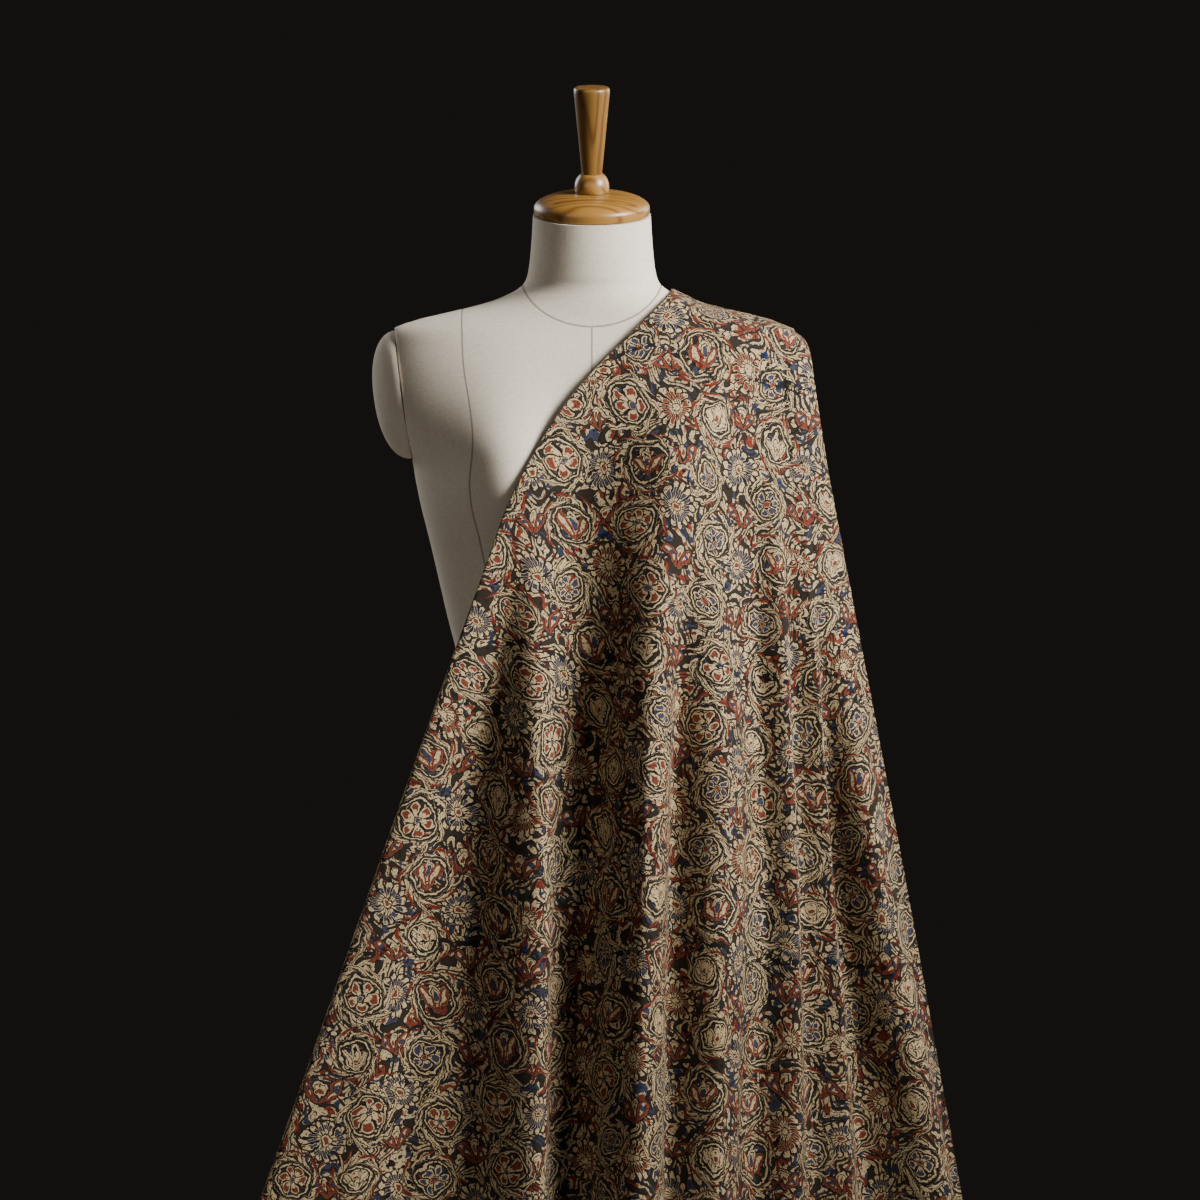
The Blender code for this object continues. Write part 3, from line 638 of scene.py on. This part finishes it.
def neck_wood(cap_wood, handle_wood):
    """Dome, ball and handle on the slanted top of the neck."""
    top = Vector((0.0, NECK_TOP.middle, NECK_TOP.height))
    axis = Matrix.Translation(top) @ Matrix.Rotation(NECK_SLANT, 4, "X")
    crown = GAP + CAP_RIM + CAP_DOME
    dome = [(0.0, crown), (CAP_SEAT_RADIUS, crown)]
    for k in range(1, DOME_STEPS + 1):
        turn = 0.5 * math.pi * k / DOME_STEPS
        reach = CAP_SEAT_RADIUS + (CAP_RADIUS - CAP_SEAT_RADIUS) * math.sin(turn)
        dome.append((reach, GAP + CAP_RIM + CAP_DOME * math.cos(turn)))
    edge_middle = (CAP_RADIUS - CAP_EDGE, GAP + CAP_EDGE)
    dome += arc_points(edge_middle, CAP_EDGE, 90.0, 180.0, EDGE_STEPS)
    dome.append((0.0, GAP))
    turned("neck_cap_dome", dome, "neck_cap", "turned_wood", cap_wood, axis)

    seat = crown + GAP
    low = 180.0 - math.degrees(math.acos((BALL_CENTRE - seat) / BALL_RADIUS))
    high = math.degrees(math.acos((HANDLE_BOTTOM - GAP - BALL_CENTRE) / BALL_RADIUS))
    ball = arc_points((0.0, BALL_CENTRE), BALL_RADIUS, high, low, BALL_STEPS)
    ball = [(0.0, ball[0][1])] + ball + [(0.0, ball[-1][1])]
    turned("cap_ball_turning", ball, "cap_ball", "turned_wood", cap_wood, axis)

    lip_middle = (HANDLE_TOP_RADIUS - HANDLE_LIP, HANDLE_TOP - HANDLE_LIP)
    handle = [(0.0, HANDLE_TOP)] + arc_points(lip_middle, HANDLE_LIP, 0.0, 90.0, LIP_STEPS)
    straight_top = HANDLE_TOP - 2.0 * HANDLE_LIP
    for k in range(HANDLE_STEPS + 1):
        part = k / HANDLE_STEPS
        taper = HANDLE_TOP_RADIUS + (HANDLE_BOTTOM_RADIUS - HANDLE_TOP_RADIUS) * part
        handle.append((taper, straight_top - (straight_top - HANDLE_BOTTOM) * part))
    handle.append((0.0, HANDLE_BOTTOM))
    turned("cap_handle_turning", handle, "cap_handle", "turned_wood", handle_wood, axis)


def repaint(node, surface):
    """Give a CAD node that stays as it is a better material."""
    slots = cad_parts[node].material_slots
    for slot in slots:
        slot.material = surface
    if not slots:
        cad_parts[node].data.materials.append(surface)


# Materials

class Graph:
    """Node tree of one material, built from formulas."""

    def __init__(self, name):
        self.material = bpy.data.materials.new(name)
        self.material.use_nodes = True
        self.tree = self.material.node_tree
        self.surface = self.tree.nodes["Principled BSDF"]

    def node(self, kind, inputs=None, **settings):
        made = self.tree.nodes.new(kind)
        for key, value in settings.items():
            setattr(made, key, value)
        for key, value in (inputs or {}).items():
            self.feed(made.inputs[key], value)
        return made

    def feed(self, socket, value):
        if isinstance(value, Field):
            value = value.socket if value.number is None else value.number
        if isinstance(value, bpy.types.NodeSocket):
            self.tree.links.new(value, socket)
        else:
            socket.default_value = value

    def math(self, operation, *values):
        made = self.node("ShaderNodeMath", operation=operation)
        for socket, value in zip(made.inputs, values):
            self.feed(socket, value)
        return Field(self, made.outputs[0])

    def vector(self, x, y):
        return self.node("ShaderNodeCombineXYZ", {"X": x, "Y": y}).outputs[0]

    def vector_math(self, operation, *values):
        made = self.node("ShaderNodeVectorMath", dict(enumerate(values)), operation=operation)
        return made.outputs[0]

    def place(self):
        """Place on the object, which moves with it."""
        return self.node("ShaderNodeTexCoord").outputs["Object"]

    def parts(self, place):
        """X, Y and Z of a place."""
        made = self.node("ShaderNodeSeparateXYZ", {"Vector": place})
        return [Field(self, made.outputs[axis]) for axis in "XYZ"]

    def stretched(self, place, shape):
        """Noise whose grain is longer along the axes with smaller numbers."""
        return self.noise(self.vector_math("MULTIPLY", place, shape), 1.0, space="3D")

    def noise(self, place, scale, detail=2.0, roughness=0.5, space="2D", curl=0.0):
        made = self.node("ShaderNodeTexNoise", {"Vector": place, "Scale": scale, "Detail": detail,
                                               "Roughness": roughness, "Distortion": curl},
                         noise_dimensions=space)
        return Field(self, made.outputs["Fac"])

    def drift(self, place, scale):
        """Two smooth random fields round zero."""
        made = self.node("ShaderNodeTexNoise", {"Vector": place, "Scale": scale, "Detail": 1.0},
                         noise_dimensions="2D")
        return [part - 0.5 for part in self.parts(made.outputs["Color"])[:2]]

    def length(self, x, y):
        made = self.node("ShaderNodeVectorMath", {0: self.vector(x, y)}, operation="LENGTH")
        return Field(self, made.outputs["Value"])

    def choose(self, part, first, second):
        """First where the part is 0, second where it is 1."""
        made = self.node("ShaderNodeMix", data_type="FLOAT")
        self.feed(made.inputs[0], part)
        self.feed(made.inputs[2], first)
        self.feed(made.inputs[3], second)
        return Field(self, made.outputs[0])

    def wave(self, place, pitch):
        return (place * (2.0 * math.pi / pitch)).sine()

    def value(self, number):
        """A number as a field, which formulas fold away."""
        return Field(self, None, number)

    def random(self, x, y):
        made = self.node("ShaderNodeTexWhiteNoise", {"Vector": self.vector(x, y)},
                         noise_dimensions="2D")
        return Field(self, made.outputs["Value"])

    def mix(self, part, first, second):
        made = self.node("ShaderNodeMix", data_type="RGBA")
        self.feed(made.inputs["Factor"], part)
        self.feed(made.inputs["A"], first if not isinstance(first, tuple) else (*first, 1.0))
        self.feed(made.inputs["B"], second if not isinstance(second, tuple) else (*second, 1.0))
        return made.outputs["Result"]

    def finish(self, colour, height, strength, depth, **settings):
        """Give the surface its colour, bump and other settings, and hand over the material."""
        self.feed(self.surface.inputs["Base Color"], colour)
        for name, value in settings.items():
            self.feed(self.surface.inputs[name.replace("_", " ")], value)
        relief = {"Height": height, "Strength": strength, "Distance": depth}
        self.feed(self.surface.inputs["Normal"], self.node("ShaderNodeBump", relief).outputs[0])
        return self.material


def formula(operation):
    """Method that puts a field, and what else it needs, through one math node."""
    return lambda self, *others: self.graph.math(operation, self, *others)


class Field:
    """Value in a node tree, or a known number, for formulas. Comparisons give 1 or 0."""

    def __init__(self, graph, socket, number=None):
        self.graph = graph
        self.socket = socket
        self.number = number

    def __add__(self, other):
        if number_of(self) == 0.0:
            return other
        if number_of(other) == 0.0:
            return self
        return self.graph.math("ADD", self, other)

    def __rsub__(self, other):
        return self.graph.math("SUBTRACT", other, self)

    def __mul__(self, other):
        if number_of(self) == 0.0 or number_of(other) == 0.0:
            return self.graph.value(0.0)
        return self.graph.math("MULTIPLY", self, other)

    __radd__ = __add__
    __rmul__ = __mul__
    __sub__ = formula("SUBTRACT")
    __truediv__ = formula("DIVIDE")
    floor = formula("FLOOR")
    fraction = formula("FRACT")
    size = formula("ABSOLUTE")
    sine = formula("SINE")
    cosine = formula("COSINE")
    power = formula("POWER")
    least = formula("MINIMUM")
    most = formula("MAXIMUM")
    above = formula("GREATER_THAN")
    below = formula("LESS_THAN")

    def clamped(self):
        return self.least(1.0).most(0.0001)

    def within(self, middle, half_width):
        """1 within a half width of a middle value."""
        return (self - middle).size().below(half_width)


def number_of(value):
    """The number that a formula's operand is, or None where it varies."""
    return value.number if isinstance(value, Field) else value


# Print, sizes in millimetres on the flat cloth. Bare numbers in the figures are millimetres from
# a figure's edge or middle, or shares of a petal's, lobe's or noise's height.
VINE_COLUMN = 76.0
VINE_BEND = 60.0
VINE_SWAY = 15.0
VINE_HALF_WIDTH = 2.3
RING_RADIUS = 21.0
RING_LARGEST = 22.5
RING_SPREAD = 6.0
RING_BAND = 1.9
PETAL_REACH = 5.5
PETAL_ROOM = 10.5
SPRIG_DROP = 13.0
SPRIG_LENGTH = 26.0
SPRIG_WIDTH = 13.0
SPRIG_AXIS = (0.50, 0.87)
LEAF_REACH = 9.5
DAISY_STEP = 96.0
DAISY_REACH = 20.0
DAISY_PETALS = 15
DAISY_PETAL_REACH = 4.0
DROP_LENGTH = 25.0
DROP_WIDTH = 14.0
DROP_AXIS = (0.62, 0.78)
OUTLINE_OFFSET = 0.30
OUTLINE_HALF_WIDTH = 0.55
BLOCK_STEP = 290.0
BLOCK_SWAY = 60.0
COTTON_THREAD = 0.62
COTTON_WORN = 0.38
INK_WORN = 0.36
INK_STRENGTH = 0.92

# How each noise bends the print: its scale, and how far it moves the figures
BENDS = [(21.0, 15.0), (48.0, 9.0), (170.0, 3.4)]

CREAM = (0.480, 0.376, 0.226)
CREAM_WARM = (0.365, 0.272, 0.146)
GROUND = (0.0250, 0.0190, 0.0130)
GROUND_DARK = (0.0140, 0.0106, 0.0074)
OUTLINE = (0.009, 0.0075, 0.0070)
RUST = (0.110, 0.0072, 0.0032)
INDIGO = (0.0016, 0.0135, 0.052)

Figure = namedtuple("Figure", "edge line red blue", defaults=(0.0, 0.0))
Ink = namedtuple("Ink", "tone red blue drawn")


def lay(under, figure, halo):
    """Print a figure over what lies under it, with a strip of bare ground round it."""
    inside = figure.edge.below(0.0)
    clear = figure.edge.above(halo)
    drawn = under.drawn * clear + inside * figure.line
    return Ink(under.tone * clear + inside * (1.0 - figure.line),
               under.red * clear + inside * figure.red,
               under.blue * clear + inside * figure.blue,
               drawn.most(figure.edge.within(OUTLINE_OFFSET, OUTLINE_HALF_WIDTH)))


def cell(place, step):
    """Number of the cell, and the place from its middle."""
    number = (place / step).floor()
    return number, place - (number + 0.5) * step


def leaning(side, rise, axis):
    """Place along an axis that leans out to the side, and place across it."""
    out, up = axis
    return side * out + rise * up, side * up - rise * out


def pointed(along, length, width, taper, root):
    """Half width of a pointed leaf, fuller towards its tip."""
    part = (along / length).clamped()
    return (part * (1.0 - part)).power(0.6) * width * (part * taper + root)


def vine_figures(graph, x, y):
    """Swaying stem, and in each bend a ring of stem round a flower, with leaves outside it."""
    column, x = cell(x, VINE_COLUMN)
    shift = graph.random(column, column * 0.37 + 5.0) * (2.0 * VINE_BEND)
    bend, y = cell(y + shift, VINE_BEND)
    turn = 1.0 - (bend * 0.5).fraction() * 4.0
    x = x * turn
    chance = graph.random(column + 0.5, bend)
    chance_two = graph.random(bend + 11.5, column)
    stem_x = (y * (math.pi / VINE_BEND)).cosine() * VINE_SWAY
    off_stem = (x - stem_x).size()
    stem = Figure(off_stem - VINE_HALF_WIDTH, off_stem.within(0.60, 0.42))

    ring_x = x - (VINE_SWAY - RING_RADIUS)
    radius = graph.length(ring_x, y)
    angle = graph.math("ARCTAN2", y, ring_x)
    size = RING_LARGEST - chance_two * RING_SPREAD
    off_ring = (radius - (size - RING_BAND)).size()
    ring = Figure(off_ring - RING_BAND, off_ring.below(0.48))

    warm = chance_two.above(0.5)
    count = (chance * 4.0).floor() + 5.0
    petal = (angle * count * 0.5 + chance * 6.0).cosine().size()
    reach = size - PETAL_ROOM + petal * PETAL_REACH
    seam = petal.below(0.34) * radius.above(3.4)
    core = radius.within(3.2, 0.5)
    stroke = petal.above(0.66) * (radius - reach).within(-4.2, 2.8)
    rosette = Figure(radius - reach, seam.most(core), stroke, radius.below(2.3))

    stalk_y = y + SPRIG_DROP
    along, across = leaning(ring_x.size(), stalk_y, SPRIG_AXIS)
    frond = across.size() - pointed(along, SPRIG_LENGTH, SPRIG_WIDTH, 0.8, 0.4)
    middle = graph.length(ring_x * 1.7, stalk_y - 16.0) - 9.5
    sprig = Figure(frond.least(middle), frond.within(-2.3, 0.4).most(middle.within(-2.4, 0.45)),
                   frond.within(-1.3, 1.2), middle.below(-4.4))
    pick = chance.above(0.52)
    chosen = Figure(*[graph.choose(pick, *pair) for pair in zip(rosette, sprig)])
    flower = chosen._replace(red=graph.choose(warm, chosen.red, rosette.blue),
                             blue=graph.choose(warm, chosen.blue, stroke * pick.below(0.5)))

    hook = angle + (radius - size) * 0.10
    lobe = (hook * 3.5 + chance * 6.0).sine().size()
    leaf_edge = radius - (size + 0.5 + lobe.power(2.2) * LEAF_REACH)
    tip = leaf_edge.above(-4.6) * lobe.above(0.86) * chance.above(0.35)
    leaf_line = lobe.above(0.985).most((radius - size).within(0.4, 0.4))
    leaves = Figure(leaf_edge.most(size - 0.2 - radius), leaf_line, tip)
    return stem, ring, flower, leaves


def daisy_figures(graph, x, y):
    """Between the vines: a daisy, and over it a palmette with two drops."""
    column, x = cell(x + 0.5 * VINE_COLUMN, VINE_COLUMN)
    row, y = cell(y + graph.random(column * 0.61 + 2.0, column) * DAISY_STEP, DAISY_STEP)
    chance = graph.random(row + 3.5, column)
    low = y + 0.25 * DAISY_STEP
    radius = graph.length(x, low)
    angle = graph.math("ARCTAN2", low, x)
    petal = (angle * (0.5 * DAISY_PETALS) + chance * 6.0).cosine().size()
    reach = DAISY_REACH - DAISY_PETAL_REACH + petal * DAISY_PETAL_REACH
    seam = petal.below(0.50) * radius.above(5.0)
    tip = petal.above(0.70) * radius.within(12.0, 3.2)
    cool = chance.above(0.4)
    heart = radius.below(2.6)
    daisy = Figure(radius - reach, seam.most(radius.within(4.6, 0.5)),
                   (tip * (1.0 - cool)).most(heart * cool), tip * cool)

    high = y - 0.14 * DAISY_STEP
    along, across = leaning(x.size(), high, DROP_AXIS)
    edge = across.size() - pointed(along, DROP_LENGTH, DROP_WIDTH, 0.9, 0.25)
    pip = graph.length(across, along - 16.0).below(2.6)
    drop = Figure(edge, edge.within(-2.6, 0.35), edge.within(-1.3, 1.25), pip)
    edge = graph.length(x * 1.5, high - 13.0) - 9.0
    bud = Figure(edge, edge.within(-2.2, 0.4), edge.below(-6.0))
    return daisy, drop, bud


def scroll_figures(graph, place):
    """Small curling leaves that fill the ground between the figures."""
    wave = graph.noise(place, 33.0, 0.0, curl=0.9) * 6.0
    band = (wave.fraction() - 0.5).size()
    lobe = graph.noise(place, 150.0, 0.0)
    edge = (band - 0.13 - lobe * 0.26) * 10.0
    line = band.below(0.022).most(lobe.within(0.5, 0.016))
    fleck = graph.noise(place, 95.0, 0.0, curl=0.6)
    return Figure(edge, line, fleck.above(0.660), fleck.below(0.368))


def print_material():
    """Block-printed cotton: cream figures on a charcoal ground, touched in rust and indigo."""
    graph = Graph("kalamkari_print_cotton")
    place = graph.node("ShaderNodeUVMap", uv_map="flat_cloth").outputs["UV"]
    u, v = [part * 1000.0 for part in graph.parts(place)[:2]]
    x, y = u, v
    for scale, reach in BENDS:
        drift_x, drift_y = graph.drift(place, scale)
        x = x + drift_x * reach
        y = y + drift_y * reach

    stem, ring, flower, leaves = vine_figures(graph, x, y)
    daisy, drop, bud = daisy_figures(graph, x, y)
    # Printed from the bottom up, each with its strip of bare ground
    printed = [(scroll_figures(graph, place), 0.0), (bud, 1.6), (drop, 1.6), (daisy, 2.2),
               (flower, 0.8), (stem, 2.0), (ring, 1.6), (leaves, 1.5)]
    ink = Ink(*[graph.value(0.0)] * len(Ink._fields))
    for figure, halo in printed:
        ink = lay(ink, figure, halo)

    worn = graph.noise(place, 420.0, 2.0, 0.6)
    block = graph.noise(place, 13.0, 1.0)
    row = ((v + block * BLOCK_SWAY) / BLOCK_STEP).fraction()
    joint = row.within(0.5, 0.010) * graph.noise(place, 130.0, 1.0).above(0.50)
    tone = ink.tone * (1.0 - joint) * worn.above(COTTON_WORN)
    cream = graph.mix(graph.noise(place, 9.0, 3.0), CREAM, CREAM_WARM)
    ground = graph.mix(worn, GROUND, GROUND_DARK)
    ground = graph.mix(ink.drawn.most(joint), ground, OUTLINE)
    colour = graph.mix(tone, ground, cream)
    for part, tint in ((ink.red, RUST), (ink.blue, INDIGO)):
        colour = graph.mix(part * worn.above(INK_WORN) * INK_STRENGTH, colour, tint)
    weave = graph.wave(u, COTTON_THREAD) * graph.wave(v, COTTON_THREAD)
    return graph.finish(colour, weave * 0.5 + worn, 0.25, 0.0003, Roughness=0.82,
                        Specular_IOR_Level=0.14, Sheen_Weight=0.015, Sheen_Roughness=0.5)


# Linen and its seams, in metres on the form; each seam spot is (height, distance from the middle)
LINEN_THREAD = 0.0011
LINEN_DARK = (0.40, 0.355, 0.285)
LINEN_LIGHT = (0.84, 0.775, 0.67)
LINEN_STAIN = (0.56, 0.49, 0.38)
SEAM_COLOUR = (0.17, 0.145, 0.115)
SEAM_HALF_WIDTH = 0.0009
NECK_SEAM_HALF_WIDTH = 0.073
NECK_SEAM_MIDDLE = 1.4205
NECK_SEAM_DROP = 0.058
SEAM_BOTTOM = 0.75
SEAM_TOP = 1.40
SEAM_REACH = 0.2
SEAM_SHOULDER = 1.385
PRINCESS_SEAM = [(0.75, 0.112), (0.85, 0.108), (0.93, 0.094), (0.99, 0.084), (1.06, 0.091),
                 (1.155, 0.109), (1.205, 0.118), (1.255, 0.115), (1.290, 0.119), (1.325, 0.125),
                 (1.357, 0.127), (1.40, 0.129)]


def seam_marks(graph, x, z):
    """1 on the seams down the middle, over the bust on both sides and round the neck."""
    run = SEAM_TOP - SEAM_BOTTOM
    spots = [((height - SEAM_BOTTOM) / run, out / SEAM_REACH) for height, out in PRINCESS_SEAM]
    curve = graph.node("ShaderNodeFloatCurve", {"Value": (z - SEAM_BOTTOM) / run})
    points = curve.mapping.curves[0].points
    points[0].location = spots[0]
    points[1].location = spots[-1]
    for spot in spots[1:-1]:
        points.new(*spot)
    curve.mapping.update()
    out = Field(graph, curve.outputs["Value"]) * SEAM_REACH
    middle = x.size().below(SEAM_HALF_WIDTH) * z.below(NECK_SEAM_MIDDLE - NECK_SEAM_DROP)
    panel = x.size().within(out, SEAM_HALF_WIDTH) * z.below(SEAM_SHOULDER)
    ring = graph.length(x / NECK_SEAM_HALF_WIDTH, (z - NECK_SEAM_MIDDLE) / NECK_SEAM_DROP)
    neck = ring.within(1.0, SEAM_HALF_WIDTH / NECK_SEAM_DROP) * z.below(NECK_SEAM_MIDDLE)
    return middle.most(panel).most(neck)


def linen_material(seams):
    """Natural linen in a fine plain weave, sewn in panels where asked."""
    graph = Graph("natural_linen_panels" if seams else "natural_linen")
    place = graph.place()
    x, y, z = graph.parts(place)
    slub = graph.stretched(place, (260.0, 260.0, 900.0))
    cross_slub = graph.stretched(place, (1000.0, 1000.0, 220.0))
    cloudy = graph.noise(place, 9.0, 3.0, space="3D")
    tone = slub * 0.5 + cross_slub * 0.5
    colour = graph.mix(tone, LINEN_DARK, LINEN_LIGHT)
    colour = graph.mix(cloudy * 0.22, colour, LINEN_STAIN)
    thread = graph.wave(z, LINEN_THREAD) + graph.wave(x + y, LINEN_THREAD)
    height = tone * 1.6 + thread * 0.14
    if seams:
        seam = seam_marks(graph, x, z)
        colour = graph.mix(seam * 0.72, colour, SEAM_COLOUR)
        height = height - seam * 4.0
    return graph.finish(colour, height, 0.35, 0.0004, Roughness=0.88,
                        Specular_IOR_Level=0.3, Sheen_Weight=0.05, Sheen_Roughness=0.5)


# Wood: light, dark, pores and bleached patches; the pith's place off the middle, how close the
# grain lies across and along, and how dark the two finer pieces are
WOOD_TONES = [(0.43, 0.220, 0.046), (0.19, 0.074, 0.010), (0.15, 0.060, 0.009),
              (0.43, 0.232, 0.058)]
WOOD_PITH = (0.021, 0.034, -0.017)
WOOD_ACROSS = 46.0
WOOD_ALONG = 7.0
CAP_SHADE = 0.70
HANDLE_SHADE = 0.46


def wood_material(name, grain, shade=1.0):
    """Light turned wood under satin varnish, its grain stretched along one axis."""
    graph = Graph(name)
    shape = tuple(WOOD_ALONG if axis == grain else WOOD_ACROSS for axis in "XYZ")
    place = graph.vector_math("ADD", graph.place(), WOOD_PITH)
    place = graph.vector_math("MULTIPLY", place, shape)
    bend = graph.noise(place, 0.7, space="3D")
    parts = dict(zip("XYZ", graph.parts(place)))
    across = graph.length(*[parts[axis] for axis in "XYZ" if axis != grain])
    ring = ((across + bend * 2.2) * 13.0).sine() * 0.5 + 0.5
    pore = graph.noise(place, 22.0, 3.0, space="3D")
    light, dark, pored, bleached = [tuple(shade * part for part in tone) for tone in WOOD_TONES]
    colour = graph.mix(ring.power(3.0), light, dark)
    colour = graph.mix(pore.power(2.0) * 0.55, colour, pored)
    colour = graph.mix(bend * 0.25, colour, bleached)
    return graph.finish(colour, pore + ring * 0.3, 0.12, 0.0004, Roughness=pore * 0.18 + 0.30,
                        Coat_Weight=0.22, Coat_Roughness=0.30)


STEEL_DARK = (0.016, 0.016, 0.017)
STEEL_DULL = (0.034, 0.032, 0.031)


def steel_material():
    """Black powder coat, slightly pebbled, dulled in places."""
    graph = Graph("black_powder_coat")
    place = graph.place()
    pebble = graph.noise(place, 900.0, space="3D")
    dull = graph.noise(place, 14.0, 4.0, space="3D")
    colour = graph.mix(dull, STEEL_DARK, STEEL_DULL)
    return graph.finish(colour, pebble, 0.25, 0.0003, Roughness=dull * 0.25 + 0.32, Metallic=0.2)


# Camera, lights and floor

CAMERA_PLACE = Vector((0.008, -3.6, 1.50))
CAMERA_AIM = Vector((0.008, 0.0, 1.087))
FRAME_WIDTH = 1.2
SENSOR_WIDTH = 36.0
WORLD_COLOUR = (0.010, 0.0085, 0.0075)
FLOOR_COLOUR = (0.60, 0.58, 0.55)
FLOOR_RADIUS = 1.4
FLOOR_SIDES = 96
Lamp = namedtuple("Lamp", "name place aim size spread power colour")
LAMPS = [
    Lamp("key", (2.62, -1.48, 2.75), (-0.05, 0.0, 1.54), 1.4, 50.0, 39.0, (1.0, 0.965, 0.92)),
    Lamp("fill", (-2.2, -3.0, 2.2), (0.0, 0.0, 1.1), 2.0, 180.0, 20.0, (1.0, 0.915, 0.83)),
    Lamp("back_left", (-2.2, 2.4, 2.4), (0.0, 0.0, 1.1), 1.6, 180.0, 58.0, (1.0, 0.98, 0.95)),
    Lamp("back_right", (2.4, 2.2, 2.3), (0.0, 0.0, 1.1), 1.6, 180.0, 40.0, (1.0, 0.98, 0.95)),
]


def aimed(made, place, aim):
    """Put an object at a place, its -Z towards another."""
    made.location = place
    made.rotation_euler = (aim - place).to_track_quat("-Z", "Y").to_euler()


def studio():
    """Camera, soft key from the front right, weak fills and a pale floor."""
    camera = new_object("camera", bpy.data.cameras.new("camera"))
    camera.data.sensor_width = SENSOR_WIDTH
    camera.data.lens = SENSOR_WIDTH * (CAMERA_AIM - CAMERA_PLACE).length / FRAME_WIDTH
    aimed(camera, CAMERA_PLACE, CAMERA_AIM)
    bpy.context.scene.camera = camera

    for lamp in LAMPS:
        light = bpy.data.lights.new(lamp.name, "AREA")
        light.size = lamp.size
        light.spread = math.radians(lamp.spread)
        light.energy = lamp.power
        light.color = lamp.colour
        aimed(new_object(lamp.name, light), Vector(lamp.place), Vector(lamp.aim))

    world = bpy.data.worlds.new("studio")
    world.use_nodes = True
    world.node_tree.nodes["Background"].inputs["Color"].default_value = (*WORLD_COLOUR, 1.0)
    bpy.context.scene.world = world

    turns = full_turn(FLOOR_SIDES)
    mesh = bpy.data.meshes.new("floor")
    outline = FLOOR_RADIUS * np.stack([np.cos(turns), np.sin(turns), 0.0 * turns], axis=1)
    mesh.from_pydata(outline.tolist(), [], [list(range(FLOOR_SIDES))])
    floor = new_object("floor", mesh)
    graph = Graph("pale_floor")
    graph.surface.inputs["Base Color"].default_value = (*FLOOR_COLOUR, 1.0)
    graph.surface.inputs["Roughness"].default_value = 0.8
    mesh.materials.append(graph.material)


studio()
form_cover(linen_material(seams=True))
arm_caps(linen_material(seams=False))
neck_wood(wood_material("turned_wood_cap", "X", CAP_SHADE),
          wood_material("turned_wood_handle", "Z", HANDLE_SHADE))
draped_cloth(print_material())
steel = steel_material()
for node in ("pole", "pole_flange", "stand_base"):
    repaint(node, steel)
repaint("underside_board", wood_material("plain_board", "X"))
